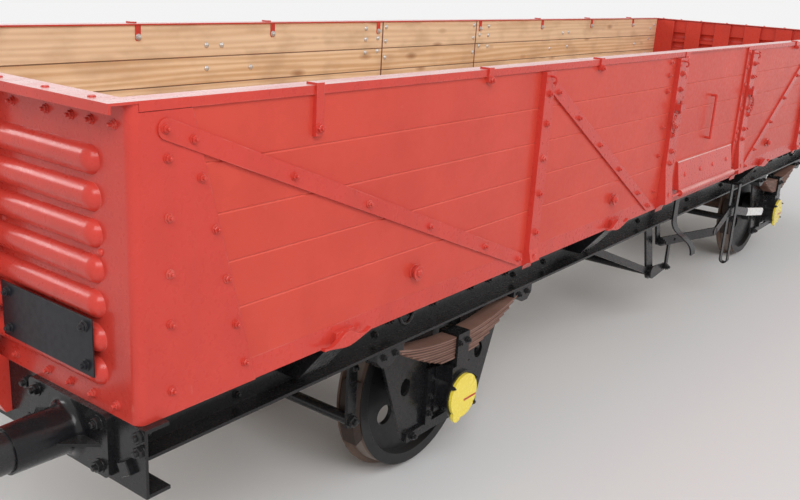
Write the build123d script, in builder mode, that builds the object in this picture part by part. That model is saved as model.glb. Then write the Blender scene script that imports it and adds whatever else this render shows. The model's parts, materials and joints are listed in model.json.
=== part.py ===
from build123d import *

import os
from math import asin, atan2, degrees, hypot, radians, cos, sin, sqrt
from typing import NamedTuple

os.makedirs("parts", exist_ok=True)

# A long open railway wagon for tubes: two axles, five planks high, a drop door in the middle of each side.
# X runs along the wagon with its front end at -X, -Y is its left side, and +Z is up.
# The origin is on the floor under the middle of the wagon, where the wheel flanges stand.
# Heights in these values are above the rail, and level() turns them into Z.

# Wheels and axles
TREAD_RADIUS = 458.0
FLANGE_DEPTH = 28.6
FLANGE_BACK = 681.0
RIM_WIDTH = 130.0
FLANGE_TIP = (9.0, 21.0)
FLANGE_ROOT = 33.0
TREAD_FALL = 3.0
RIM_THICKNESS = 58.0
WEB_THICKNESS = 24.0
HUB_RADIUS = 125.0
HUB_LENGTH = 180.0
HUB_SHIFT = 18.0
WHEEL_HOLE_RADIUS = 52.0
WHEEL_HOLE_COUNT = 3
WHEELBASE = 5334.0
AXLE_RADIUS = 76.0
WHEEL_SEAT_RADIUS = 88.0
JOURNAL_RADIUS = 55.0
JOURNAL_CLEARANCE = 0.05
JOURNAL_END = 1064.0
JOURNAL_END_GAP = 2.0

# Underframe
BODY_LENGTH = 9296.0
BUFFER_HEIGHT = 985.0
SOLEBAR_RISE = 110.0
SOLEBAR_DEPTH = 229.0
SOLEBAR_BACK = 960.0
SOLEBAR_FLANGE = 90.0
HEADSTOCK_FLANGE = 89.0
HEADSTOCK_LENGTH = 2456.0
FRAME_WEB = 10.0
FRAME_TOE = 12.0
LONGITUDINAL_OFFSET = 230.0
LONGITUDINAL_DEPTH = 178.0
LONGITUDINAL_FLANGE = 76.0
BEARER_PLACES = (-3560.0, -1900.0, -700.0, 700.0, 1900.0, 3560.0)
BRACKET_PLACES = (-3737.0, -1386.0, 1386.0, 3737.0)
BRACKET_WIDTH = 150.0
BRACKET_HEIGHT = 165.0
BRACKET_PLATE = 8.0

# Body
BODY_WIDTH = 2400.0
PLANK_THICKNESS = 64.0
PLANK_HEIGHTS = (193.0, 162.0, 162.0, 162.0, 192.0)
PLANK_GROOVE = 6.0
FLOOR_THICKNESS = 70.0
FLOOR_BOARD = 203.0
CURB_RISE = 10.0
CURB_TOE = 8.0
END_PLATE = 6.0
END_CORNER_RADIUS = 30.0
WING_TOP_WIDTH = 215.0
WING_FOOT_WIDTH = 470.0
RIB_PITCH = 108.0
RIB_TOP_DROP = 176.0
RIB_COUNT = 7
RIB_RADIUS = 46.0
RIB_DEPTH = 34.0
RIB_INSET = 138.0
LINING_THICKNESS = 30.0
LINING_WIDTH = 176.0
LINING_PITCH = 338.0
LINING_SIDE = 216.0
COPING_THICKNESS = 8.0
COPING_LEG = 30.0
COPING_INSET = 10.0
COPING_END_OVERHANG = 66.0
POST_WIDTH = 84.0
DOOR_POST_WIDTH = 110.0
POST_DEPTH = 28.0
POST_FOOT_DEPTH = 44.0
DOOR_POST_FOOT_DEPTH = 60.0
POST_DROP = 24.0
POST_TOP_GAP = 2.0
OUTER_POST_PLACE = 2360.0
DOOR_POST_PLACE = 703.0
STRAP_WIDTH = 62.0
STRAP_THICKNESS = 12.0
STRAP_CORNER = (91.0, 64.0)
STRAP_TOP_CORNER = (75.0, 100.0)
STRAP_DOOR_SPACE = 195.0
STRAP_FOOT_DROP = 45.0
STANCHION_PLACE = 450.0
STANCHION_WIDTH = 100.0
STANCHION_TOP_DEPTH = 26.0
STANCHION_FOOT_DEPTH = 90.0
STANCHION_DROP = 190.0

# Doors
DOOR_GAP = 6.0
DOOR_STEP_RISE = 188.0
DOOR_APRON_TOP = 12.0
DOOR_APRON_FOOT = 44.0
DOOR_APRON_INSET = 130.0
DOOR_EDGE = 70.0
HINGE_OUT = 50.0
HINGE_DROP = 9.0
HINGE_ROD_RADIUS = 8.0
HINGE_BAR_RADIUS = 21.0
HANDLE_PLACE = -40.0
HANDLE_RADIUS = 8.0
HANDLE_REACH = 34.0
HANDLE_FOOT = 108.0
HANDLE_HEAD = 390.0

# Buffers and drawgear
BUFFER_OFFSET = 863.5
BUFFER_REACH = 521.0
BUFFER_HEAD_RADIUS = 165.0
BUFFER_BASE_WIDTH = 420.0
BUFFER_BASE_THICKNESS = 22.0
BUFFER_BASE_HEIGHT = 215.0
BUFFER_BARREL_RADIUS = 80.0
BUFFER_NOSE_RADIUS = 75.0
BUFFER_BARREL_LENGTH = 235.0
BUFFER_FLARE_RADIUS = 26.0
BUFFER_WEB_REACH = 120.0
BUFFER_WEB_HALF = 176.0
RAM_RADIUS = 67.0
SLIDING_GAP = 0.3

# Springs and axleboxes
SPRING_HALF_LENGTH = 520.0
SPRING_SAG = 78.0
SPRING_DROP = 20.0
SPRING_LEAVES = 9
LEAF_THICKNESS = 12.5
LEAF_WIDTH = 89.0
LEAF_STEP = 0.088
LEAF_INSET = 3.0
SPRING_OFFSET = 1006.0
BOX_WIDTH = 232.0
BOX_RISE = 158.0
BOX_DROP = 80.0
BOX_BACK = 905.0
BOX_BARREL_RADIUS = 108.0
BOX_FLANGE_RADIUS = 124.0
BOX_FLANGE_THICKNESS = 14.0
BOX_FRONT = 1076.0
GUARD_THICKNESS = 16.0

# Brakes
SHOE_GAP = 6.0
SHOE_THICKNESS = 48.0
SHOE_WIDTH = 80.0
SHOE_HALF_ANGLE = 19.0
SHOE_DROP_ANGLE = 3.0
SHAFT_RADIUS = 30.0
SHAFT_PLACE = -70.0
SHAFT_RISE = 6.0

SOLEBAR_TOP = BUFFER_HEIGHT + SOLEBAR_RISE
SOLEBAR_FOOT = SOLEBAR_TOP - SOLEBAR_DEPTH
FRAME_END = BODY_LENGTH / 2 - HEADSTOCK_FLANGE
CURB_TOP = SOLEBAR_TOP + FLOOR_THICKNESS + CURB_RISE
FLOOR_TOP = SOLEBAR_TOP + FLOOR_THICKNESS
WALL_TOP = CURB_TOP + sum(PLANK_HEIGHTS)
SIDE_FACE = BODY_WIDTH / 2 - END_PLATE
SIDE_END = BODY_LENGTH / 2 - END_CORNER_RADIUS
POST_TOP = WALL_TOP - COPING_LEG + COPING_THICKNESS - POST_TOP_GAP
POST_FOOT = SOLEBAR_TOP - POST_DROP
PLANK_START = DOOR_POST_PLACE - DOOR_POST_WIDTH / 2
DOOR_HALF = PLANK_START - DOOR_GAP
DOOR_STEP = CURB_TOP + DOOR_STEP_RISE
BOX_TOP = TREAD_RADIUS + BOX_RISE
SPRING_END_HEIGHT = SOLEBAR_FOOT - SPRING_DROP
SHAFT_HEIGHT = TREAD_RADIUS + SHAFT_RISE


def level(height):
    """Z of a height above the rail."""
    return height + FLANGE_DEPTH


def save(piece, name):
    """Labels a finished piece and writes it."""
    piece.part.label = name
    export_step(piece.part, f"parts/{name}.step")


def channel(back, middle, depth, reach, web=FRAME_WEB, toe=FRAME_TOE):
    """Draws a channel section: its back at `back`, its flanges `reach` to the side that reach's sign says."""
    side = 1 if reach > 0 else -1
    with Locations((back + reach / 2, middle)):
        Rectangle(abs(reach), depth)
    with Locations((back + side * web + reach / 2, middle)):
        Rectangle(abs(reach), depth - 2 * toe, mode=Mode.SUBTRACT)


with BuildPart() as solebars:
    with BuildSketch(Plane.YZ):
        channel(-SOLEBAR_BACK, level(SOLEBAR_TOP - SOLEBAR_DEPTH / 2), SOLEBAR_DEPTH, -SOLEBAR_FLANGE)
    extrude(amount=FRAME_END, both=True)
    mirror(about=Plane.XZ)
save(solebars, "solebars")

with BuildPart() as headstocks:
    with BuildSketch(Plane.XZ):
        channel(-BODY_LENGTH / 2, level(SOLEBAR_TOP - SOLEBAR_DEPTH / 2), SOLEBAR_DEPTH, HEADSTOCK_FLANGE)
    extrude(amount=HEADSTOCK_LENGTH / 2, both=True)
    mirror(about=Plane.YZ)
save(headstocks, "headstocks")

LONGITUDINAL_MIDDLE = level(SOLEBAR_TOP - LONGITUDINAL_DEPTH / 2)
with BuildPart() as longitudinals:
    with BuildSketch(Plane.YZ):
        channel(-LONGITUDINAL_OFFSET, LONGITUDINAL_MIDDLE, LONGITUDINAL_DEPTH, -LONGITUDINAL_FLANGE)
    extrude(amount=FRAME_END, both=True)
    mirror(about=Plane.XZ)
save(longitudinals, "longitudinals")

# Each bearer is in three lengths, between the solebars and the longitudinals.
with BuildPart() as cross_bearers:
    outer_length = SOLEBAR_BACK - LONGITUDINAL_OFFSET - LONGITUDINAL_FLANGE
    for place in BEARER_PLACES:
        flange = LONGITUDINAL_FLANGE if place > 0 else -LONGITUDINAL_FLANGE
        with BuildSketch(Plane.XZ):
            channel(place, LONGITUDINAL_MIDDLE, LONGITUDINAL_DEPTH, flange)
        extrude(amount=LONGITUDINAL_OFFSET, both=True)
        for start in (LONGITUDINAL_OFFSET + LONGITUDINAL_FLANGE, -SOLEBAR_BACK):
            with BuildSketch(Plane.XZ.offset(start)):
                channel(place, LONGITUDINAL_MIDDLE, LONGITUDINAL_DEPTH, flange)
            extrude(amount=outer_length)
save(cross_bearers, "cross_bearers")

# Pressed brackets stand in the solebars' channels and carry the curb rails.
BRACKET_REACH = SIDE_FACE - BRACKET_PLATE
with BuildPart() as curb_brackets:
    for place in BRACKET_PLACES:
        for inset, mode in ((0.0, Mode.ADD), (BRACKET_PLATE, Mode.SUBTRACT)):
            back = SOLEBAR_BACK + FRAME_WEB + inset
            foot_height = level(SOLEBAR_TOP - FRAME_TOE - BRACKET_HEIGHT + inset)
            with BuildSketch(Plane.YZ.offset(place)):
                Polygon(
                    (-back, foot_height),
                    (-back, level(SOLEBAR_TOP - FRAME_TOE)),
                    (-SOLEBAR_BACK - SOLEBAR_FLANGE, level(SOLEBAR_TOP - FRAME_TOE)),
                    (-SOLEBAR_BACK - SOLEBAR_FLANGE, level(SOLEBAR_TOP)),
                    (-BRACKET_REACH, level(SOLEBAR_TOP)),
                    (-BRACKET_REACH, level(SOLEBAR_TOP - FRAME_TOE)),
                    (-SOLEBAR_BACK - SOLEBAR_FLANGE, foot_height),
                    align=None,
                )
            extrude(amount=BRACKET_WIDTH / 2 - inset, both=True, mode=mode)
    mirror(about=Plane.XZ)
save(curb_brackets, "curb_brackets")

# The floor is of boards laid across the wagon, with a groove at each joint.
with BuildPart() as floor_boards:
    with BuildSketch(Plane.XY.offset(level(SOLEBAR_TOP))):
        Rectangle(2 * SIDE_END, 2 * (SIDE_FACE - PLANK_THICKNESS))
    extrude(amount=FLOOR_THICKNESS)
    joints = int(2 * SIDE_END / FLOOR_BOARD)
    with BuildSketch(Plane.XZ):
        with GridLocations(FLOOR_BOARD, 1, joints, 1):
            with Locations((0, level(FLOOR_TOP))):
                Rectangle(PLANK_GROOVE, 2 * PLANK_GROOVE)
    extrude(amount=BODY_WIDTH, both=True, mode=Mode.SUBTRACT)
save(floor_boards, "floor_boards")

# The curb rail is a channel with its back outwards, and the floor boards end against its toes.
CURB_HEIGHT = CURB_TOP - SOLEBAR_TOP
with BuildPart() as curb_rails:
    with BuildSketch(Plane.YZ):
        channel(-SIDE_FACE, level(SOLEBAR_TOP + CURB_HEIGHT / 2), CURB_HEIGHT, PLANK_THICKNESS, CURB_TOE, CURB_TOE)
    extrude(amount=SIDE_END, both=True)
    mirror(about=Plane.XZ)
save(curb_rails, "curb_rails")


def planking(first, last):
    """A stretch of the left side's five planks, from first to last along X."""
    with BuildPart() as planks:
        with BuildSketch(Plane.YZ.offset(first)):
            with Locations((-SIDE_FACE, level(CURB_TOP))):
                Rectangle(PLANK_THICKNESS, WALL_TOP - CURB_TOP, align=(Align.MIN, Align.MIN))
            height = CURB_TOP
            for plank in PLANK_HEIGHTS[:-1]:
                height += plank
                for face in (SIDE_FACE, SIDE_FACE - PLANK_THICKNESS):
                    with Locations((-face, level(height))):
                        Rectangle(PLANK_GROOVE, PLANK_GROOVE, rotation=45, mode=Mode.SUBTRACT)
        extrude(amount=last - first)
    return planks.part


with BuildPart() as side_planks:
    add(planking(-SIDE_END, -PLANK_START))
    add(planking(PLANK_START, SIDE_END))
    mirror(about=Plane.XZ)
save(side_planks, "side_planks")


class Post(NamedTuple):
    """An upright on the left side: where it is, its width, where its depth starts to grow, and its depth there."""

    place: float
    width: float
    knee: float
    foot_depth: float


POSTS = (
    Post(-OUTER_POST_PLACE, POST_WIDTH, CURB_TOP, POST_FOOT_DEPTH),
    Post(-DOOR_POST_PLACE, DOOR_POST_WIDTH, DOOR_STEP, DOOR_POST_FOOT_DEPTH),
    Post(DOOR_POST_PLACE, DOOR_POST_WIDTH, DOOR_STEP, DOOR_POST_FOOT_DEPTH),
    Post(OUTER_POST_PLACE, POST_WIDTH, CURB_TOP, POST_FOOT_DEPTH),
)

with BuildPart() as side_posts:
    for post in POSTS:
        with BuildSketch(Plane.YZ.offset(post.place)):
            with BuildLine():
                bend = (-SIDE_FACE - post.foot_depth, level(POST_FOOT + post.foot_depth))
                Polyline(
                    (-SIDE_FACE, level(POST_FOOT)),
                    (-SIDE_FACE, level(POST_TOP)),
                    (-SIDE_FACE - POST_DEPTH, level(POST_TOP)),
                    (-SIDE_FACE - POST_DEPTH, level(post.knee)),
                    bend,
                )
                RadiusArc(bend, (-SIDE_FACE, level(POST_FOOT)), post.foot_depth)
            make_face()
        extrude(amount=post.width / 2, both=True)
    mirror(about=Plane.XZ)
save(side_posts, "side_posts")


class Strap(NamedTuple):
    """A diagonal flat bar on the left side, from one end to the other, as place along X and height."""

    start: float
    start_height: float
    stop: float
    stop_height: float


STRAP_FOOT = CURB_TOP - STRAP_FOOT_DROP
CORNER_TOP = (BODY_LENGTH / 2 - STRAP_CORNER[0], WALL_TOP - STRAP_CORNER[1])
CORNER_FOOT = OUTER_POST_PLACE + STRAP_TOP_CORNER[0]
MIDDLE_TOP = (OUTER_POST_PLACE - STRAP_TOP_CORNER[0], WALL_TOP - STRAP_TOP_CORNER[1])
MIDDLE_FOOT = DOOR_POST_PLACE + STRAP_DOOR_SPACE
STRAPS = (
    Strap(-CORNER_TOP[0], CORNER_TOP[1], -CORNER_FOOT, STRAP_FOOT),
    Strap(-MIDDLE_TOP[0], MIDDLE_TOP[1], -MIDDLE_FOOT, STRAP_FOOT),
    Strap(MIDDLE_FOOT, STRAP_FOOT, *MIDDLE_TOP),
    Strap(CORNER_FOOT, STRAP_FOOT, *CORNER_TOP),
)


def wing_outline():
    """Draws the left side's front corner plate, in a sketch of X and Z."""
    Polygon(
        (-BODY_LENGTH, level(SOLEBAR_TOP)),
        (-BODY_LENGTH / 2 + WING_FOOT_WIDTH, level(SOLEBAR_TOP)),
        (-BODY_LENGTH / 2 + WING_TOP_WIDTH, level(POST_TOP)),
        (-BODY_LENGTH, level(POST_TOP)),
        align=None,
    )


with BuildPart() as diagonal_straps:
    for strap in STRAPS:
        rise, run = strap.stop_height - strap.start_height, strap.stop - strap.start
        with BuildSketch(Plane.XZ.offset(SIDE_FACE)):
            middle = ((strap.start + strap.stop) / 2, level((strap.start_height + strap.stop_height) / 2))
            with Locations(Location(middle, degrees(atan2(rise, run)))):
                SlotCenterToCenter(hypot(rise, run) - STRAP_WIDTH, STRAP_WIDTH)
        extrude(amount=STRAP_THICKNESS)
    # The straps' ends lap over the corner plates.
    with BuildSketch(Plane.XZ.offset(SIDE_FACE)):
        wing_outline()
        mirror(about=Plane.YZ)
    extrude(amount=END_PLATE, mode=Mode.SUBTRACT)
    mirror(about=Plane.XZ)
save(diagonal_straps, "diagonal_straps")

# The pressed end: a flat plate with rounded corners, side wings cut on the slant, and outward ribs.
with BuildPart() as end_front:
    with BuildSketch(Plane.XY.offset(level(SOLEBAR_TOP))):
        with BuildLine():
            outer = FilletPolyline(
                (-BODY_LENGTH / 2 + WING_FOOT_WIDTH, -BODY_WIDTH / 2),
                (-BODY_LENGTH / 2, -BODY_WIDTH / 2),
                (-BODY_LENGTH / 2, BODY_WIDTH / 2),
                (-BODY_LENGTH / 2 + WING_FOOT_WIDTH, BODY_WIDTH / 2),
                radius=END_CORNER_RADIUS,
            )
            inner = FilletPolyline(
                (-BODY_LENGTH / 2 + WING_FOOT_WIDTH, -SIDE_FACE),
                (-BODY_LENGTH / 2 + END_PLATE, -SIDE_FACE),
                (-BODY_LENGTH / 2 + END_PLATE, SIDE_FACE),
                (-BODY_LENGTH / 2 + WING_FOOT_WIDTH, SIDE_FACE),
                radius=END_CORNER_RADIUS - END_PLATE,
            )
            Line(outer @ 0, inner @ 0)
            Line(outer @ 1, inner @ 1)
        make_face()
    extrude(amount=WALL_TOP - SOLEBAR_TOP)
    # Above the slant line and under the coping the wings are cut away.
    with BuildSketch(Plane.XZ):
        with BuildLine():
            Polyline(
                (-BODY_LENGTH / 2 + WING_FOOT_WIDTH, level(SOLEBAR_TOP)),
                (-BODY_LENGTH / 2 + WING_TOP_WIDTH, level(POST_TOP)),
                (-SIDE_END, level(POST_TOP)),
                (-SIDE_END, level(WALL_TOP)),
                (-BODY_LENGTH / 2 + WING_FOOT_WIDTH, level(WALL_TOP)),
                close=True,
            )
        make_face()
    extrude(amount=BODY_WIDTH, both=True, mode=Mode.SUBTRACT)
    axis_place = -BODY_LENGTH / 2 - RIB_DEPTH + RIB_RADIUS
    rib_half = BODY_WIDTH / 2 - RIB_INSET - RIB_RADIUS
    heights = [level(WALL_TOP - RIB_TOP_DROP - rib * RIB_PITCH) for rib in range(RIB_COUNT)]
    spots = [(axis_place, 0, height) for height in heights]
    ends = [(axis_place, side * rib_half, height) for height in heights for side in (-1, 1)]
    with BuildPart(mode=Mode.PRIVATE) as bulges:
        with Locations(*spots):
            Cylinder(RIB_RADIUS, 2 * rib_half, rotation=(90, 0, 0))
        with Locations(*ends):
            Sphere(RIB_RADIUS)
        split(bisect_by=Plane.YZ.offset(-BODY_LENGTH / 2 + END_PLATE), keep=Keep.BOTTOM)
    with BuildPart(mode=Mode.PRIVATE) as hollows:
        with Locations(*spots):
            Cylinder(RIB_RADIUS - END_PLATE, 2 * rib_half, rotation=(90, 0, 0))
        with Locations(*ends):
            Sphere(RIB_RADIUS - END_PLATE)
    add(bulges.part)
    add(hollows.part, mode=Mode.SUBTRACT)
save(end_front, "end_front")
with BuildPart() as end_rear:
    add(end_front.part.mirror(Plane.YZ))
save(end_rear, "end_rear")

# Upright boards line the inside of each end, with gaps that show the pressed ribs.
SIDE_BOARD_PLACE = SIDE_FACE - PLANK_THICKNESS - LINING_SIDE / 2
LINING_BOARDS = [(step * LINING_PITCH, LINING_WIDTH) for step in range(-2, 3)]
LINING_BOARDS += [(side * SIDE_BOARD_PLACE, LINING_SIDE) for side in (-1, 1)]
with BuildPart() as end_linings:
    for across, width in LINING_BOARDS:
        with Locations((-BODY_LENGTH / 2 + END_PLATE, across, level(FLOOR_TOP))):
            Box(
                LINING_THICKNESS,
                width,
                WALL_TOP - FLOOR_TOP - COPING_THICKNESS,
                align=(Align.MIN, Align.CENTER, Align.MIN),
            )
    mirror(about=Plane.YZ)
save(end_linings, "end_linings")

with BuildPart() as end_stanchions:
    for across in (-STANCHION_PLACE, STANCHION_PLACE):
        with BuildSketch(Plane.XZ.offset(-across)):
            with BuildLine():
                face = -BODY_LENGTH / 2
                Polyline(
                    (face, level(SOLEBAR_TOP - STANCHION_DROP)),
                    (face, level(SOLEBAR_TOP)),
                    (face - RIB_DEPTH, level(SOLEBAR_TOP + RIB_DEPTH)),
                    (face - RIB_DEPTH, level(POST_TOP)),
                    (face - RIB_DEPTH - STANCHION_TOP_DEPTH, level(POST_TOP)),
                    (face - RIB_DEPTH - STANCHION_FOOT_DEPTH, level(SOLEBAR_TOP)),
                    (face - 2 * FRAME_TOE, level(SOLEBAR_TOP - STANCHION_DROP)),
                    close=True,
                )
            make_face()
        extrude(amount=STANCHION_WIDTH / 2, both=True)
    mirror(about=Plane.YZ)
save(end_stanchions, "end_stanchions")

# The coping is an angle over the planks' top edge, cut at the doors.
with BuildPart() as coping_sides:
    with BuildSketch(Plane.YZ.offset(PLANK_START)):
        with Locations((-SIDE_FACE - COPING_THICKNESS, level(WALL_TOP))):
            Rectangle(
                PLANK_THICKNESS + COPING_THICKNESS + COPING_INSET, COPING_THICKNESS, align=(Align.MIN, Align.MIN)
            )
        with Locations((-SIDE_FACE - COPING_THICKNESS, level(WALL_TOP + COPING_THICKNESS))):
            Rectangle(COPING_THICKNESS, COPING_LEG, align=(Align.MIN, Align.MAX))
    extrude(amount=SIDE_END - PLANK_START)
    mirror(about=Plane.YZ)
    mirror(about=Plane.XZ)
save(coping_sides, "coping_sides")

with BuildPart() as coping_ends:
    with BuildSketch(Plane.XZ):
        with Locations((-BODY_LENGTH / 2 - COPING_END_OVERHANG, level(WALL_TOP))):
            Rectangle(COPING_END_OVERHANG + END_CORNER_RADIUS, COPING_THICKNESS, align=(Align.MIN, Align.MIN))
        with Locations((-BODY_LENGTH / 2 - COPING_END_OVERHANG, level(WALL_TOP + COPING_THICKNESS))):
            Rectangle(COPING_THICKNESS, COPING_LEG, align=(Align.MIN, Align.MAX))
    extrude(amount=SIDE_FACE + COPING_THICKNESS, both=True)
    mirror(about=Plane.YZ)
save(coping_ends, "coping_ends")

# Flat clips hook over the coping and are bolted to the top plank.
CLIP_WIDTH = 36.0
CLIP_THICKNESS = 8.0
CLIP_DROPS = ((3910.0, 160.0), (2860.0, 45.0), (1803.0, 45.0))
with BuildPart() as coping_clips:
    coping_out = SIDE_FACE + COPING_THICKNESS
    coping_top = WALL_TOP + COPING_THICKNESS
    for place, drop in CLIP_DROPS:
        with BuildSketch(Plane.YZ.offset(place)):
            Polygon(
                (-SIDE_FACE + PLANK_THICKNESS / 2, level(coping_top)),
                (-SIDE_FACE + PLANK_THICKNESS / 2, level(coping_top + CLIP_THICKNESS)),
                (-coping_out - CLIP_THICKNESS, level(coping_top + CLIP_THICKNESS)),
                (-coping_out - CLIP_THICKNESS, level(WALL_TOP - drop)),
                (-SIDE_FACE, level(WALL_TOP - drop)),
                (-SIDE_FACE, level(coping_top - COPING_LEG)),
                (-coping_out, level(coping_top - COPING_LEG)),
                (-coping_out, level(coping_top)),
                align=None,
            )
        extrude(amount=CLIP_WIDTH / 2, both=True)
    mirror(about=Plane.YZ)
    mirror(about=Plane.XZ)
save(coping_clips, "coping_clips")

# Rope cleats on the curb rails, and round bobbins on the bottom planks, for the load's lashings.
CLEAT_HALF = 129.0
CLEAT_THICKNESS = 18.0
CLEAT_BOSS = 100.0
CLEAT_RISE = 27.0
CLEAT_HEIGHT = SOLEBAR_TOP + CLEAT_RISE
CLEAT_UPPER = (
    (-CLEAT_HALF, -6.0),
    (-CLEAT_BOSS / 2, 4.0),
    (0.0, 26.0),
    (CLEAT_BOSS / 2, 6.0),
    (CLEAT_HALF, 8.0),
)
CLEAT_LOWER = (
    (CLEAT_HALF, -4.0),
    (CLEAT_BOSS / 2, -26.0),
    (0.0, -34.0),
    (-CLEAT_BOSS / 2, -28.0),
    (-CLEAT_HALF, -18.0),
)
BOBBIN_PLACES = (-3304.0, -1451.0, 1451.0, 3304.0)
BOBBIN_RADIUS = 31.0
BOBBIN_NECK = 18.0
BOBBIN_LENGTH = 30.0
BOBBIN_FLANGE = 8.0
with BuildPart() as rope_fittings:
    for place in BRACKET_PLACES:
        with Locations((place, -SIDE_FACE, level(CLEAT_HEIGHT))):
            Box(CLEAT_BOSS, CLEAT_THICKNESS, CLEAT_BOSS / 2, align=(Align.CENTER, Align.MAX, Align.CENTER))
        with BuildSketch(Plane.XZ.offset(SIDE_FACE + CLEAT_THICKNESS)):
            with BuildLine():
                upper = Spline(*[(place + along, level(CLEAT_HEIGHT + rise)) for along, rise in CLEAT_UPPER])
                lower = Spline(*[(place + along, level(CLEAT_HEIGHT + rise)) for along, rise in CLEAT_LOWER])
                Line(upper @ 1, lower @ 0)
                Line(lower @ 1, upper @ 0)
            make_face()
        extrude(amount=CLEAT_THICKNESS)
    for place in BOBBIN_PLACES:
        for start, length, radius in (
            (0.0, BOBBIN_FLANGE, BOBBIN_RADIUS),
            (BOBBIN_FLANGE, BOBBIN_LENGTH - 2 * BOBBIN_FLANGE, BOBBIN_NECK),
            (BOBBIN_LENGTH - BOBBIN_FLANGE, BOBBIN_FLANGE, BOBBIN_RADIUS),
        ):
            with BuildSketch(Plane.XZ.offset(SIDE_FACE + start)):
                with Locations((place, level(CURB_TOP + PLANK_HEIGHTS[0] / 2))):
                    Circle(radius)
            extrude(amount=length)
    mirror(about=Plane.XZ)
save(rope_fittings, "rope_fittings")

# A blank steel panel is bolted over the lower ribs beside one stanchion at each end.
PANEL_WIDTH = 485.0
PANEL_HEIGHT = 185.0
PANEL_PLACE = 802.0
PANEL_RISE = 217.0
PANEL_THICKNESS = 5.0
with BuildPart() as end_panels:
    for turn in (1, -1):
        with Locations(
            (-turn * (BODY_LENGTH / 2 + RIB_DEPTH), -turn * PANEL_PLACE, level(SOLEBAR_TOP + PANEL_RISE))
        ):
            Box(
                PANEL_THICKNESS,
                PANEL_WIDTH,
                PANEL_HEIGHT,
                align=(Align.MAX if turn > 0 else Align.MIN, Align.CENTER, Align.CENTER),
            )
save(end_panels, "end_panels")

# A drop door: planks above the curb rail, iron edges and a cap, and a sloped apron on a long hinge bar.
with BuildPart() as door_planks:
    add(planking(-DOOR_HALF, DOOR_HALF))
    with Locations((0, -SIDE_FACE, level(CURB_TOP))):
        Box(2 * DOOR_HALF, PLANK_THICKNESS, DOOR_GAP, align=(Align.CENTER, Align.MIN, Align.MIN), mode=Mode.SUBTRACT)

HINGE_HEIGHT = CURB_TOP - HINGE_DROP
HINGE_LINE = SIDE_FACE + HINGE_OUT
APRON_HALF = DOOR_HALF - DOOR_APRON_INSET
with BuildPart() as door_irons:
    with BuildSketch(Plane.XZ.offset(SIDE_FACE)):
        for across in (-1, 1):
            with Locations((across * (DOOR_HALF - DOOR_EDGE / 2), level(CURB_TOP + DOOR_GAP))):
                Rectangle(DOOR_EDGE, WALL_TOP - CURB_TOP - DOOR_GAP, align=(Align.CENTER, Align.MIN))
    extrude(amount=STRAP_THICKNESS)
    # The cap over the door's top edge.
    with BuildSketch(Plane.YZ):
        with Locations((-SIDE_FACE - STRAP_THICKNESS, level(WALL_TOP))):
            Rectangle(
                PLANK_THICKNESS + STRAP_THICKNESS + COPING_INSET, COPING_THICKNESS, align=(Align.MIN, Align.MIN)
            )
    extrude(amount=DOOR_HALF, both=True)
    with BuildSketch(Plane.YZ):
        Polygon(
            (-SIDE_FACE, level(CURB_TOP + DOOR_GAP)),
            (-SIDE_FACE, level(DOOR_STEP)),
            (-SIDE_FACE - DOOR_APRON_TOP, level(DOOR_STEP)),
            (-SIDE_FACE - DOOR_APRON_FOOT, level(CURB_TOP + DOOR_GAP)),
            align=None,
        )
        with Locations((-HINGE_LINE, level(HINGE_HEIGHT))):
            Circle(HINGE_BAR_RADIUS)
    extrude(amount=APRON_HALF, both=True)
    with BuildSketch(Plane.YZ):
        with Locations((-HINGE_LINE, level(HINGE_HEIGHT))):
            Circle(HINGE_ROD_RADIUS + JOURNAL_CLEARANCE)
    extrude(amount=DOOR_HALF, both=True, mode=Mode.SUBTRACT)
    # An upright grab handle stands off the door on two short legs.
    for height in (DOOR_STEP + HANDLE_FOOT, DOOR_STEP + HANDLE_HEAD):
        with BuildSketch(Plane.XZ.offset(SIDE_FACE)):
            with Locations((HANDLE_PLACE, level(height))):
                Circle(HANDLE_RADIUS)
        extrude(amount=HANDLE_REACH)
    with BuildSketch(Plane.XY.offset(level(DOOR_STEP + HANDLE_FOOT - HANDLE_RADIUS))):
        with Locations((HANDLE_PLACE, -SIDE_FACE - HANDLE_REACH)):
            Circle(HANDLE_RADIUS)
    extrude(amount=HANDLE_HEAD - HANDLE_FOOT + 2 * HANDLE_RADIUS)

with BuildPart() as hinge_rods:
    with BuildSketch(Plane.YZ):
        with Locations((-HINGE_LINE, level(HINGE_HEIGHT))):
            Circle(HINGE_ROD_RADIUS)
    extrude(amount=PLANK_START, both=True)
    mirror(about=Plane.XZ)
save(hinge_rods, "hinge_rods")

for side, turned in (("left", False), ("right", True)):
    for piece, name in ((door_planks, "planks"), (door_irons, "irons")):
        with BuildPart() as door_piece:
            add(piece.part.mirror(Plane.XZ) if turned else piece.part)
        save(door_piece, f"door_{name}_{side}")

# Staples and pins on the door posts hold the doors shut.
CATCH_HEIGHT = 367.0
CATCH_SIZE = (76.0, 34.0, 40.0)
with BuildPart() as door_catches:
    with Locations((-DOOR_POST_PLACE, -SIDE_FACE - POST_DEPTH, level(DOOR_STEP + CATCH_HEIGHT))):
        Box(*CATCH_SIZE, align=(Align.CENTER, Align.MAX, Align.CENTER))
    with BuildSketch(Plane.XY.offset(level(DOOR_STEP + CATCH_HEIGHT - CATCH_SIZE[2]))):
        with Locations((-DOOR_POST_PLACE, -SIDE_FACE - POST_DEPTH - CATCH_SIZE[1] / 2)):
            Circle(CATCH_SIZE[1] / 4)
    extrude(amount=2 * CATCH_SIZE[2])
    mirror(about=Plane.YZ)
    mirror(about=Plane.XZ)
save(door_catches, "door_catches")

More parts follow.
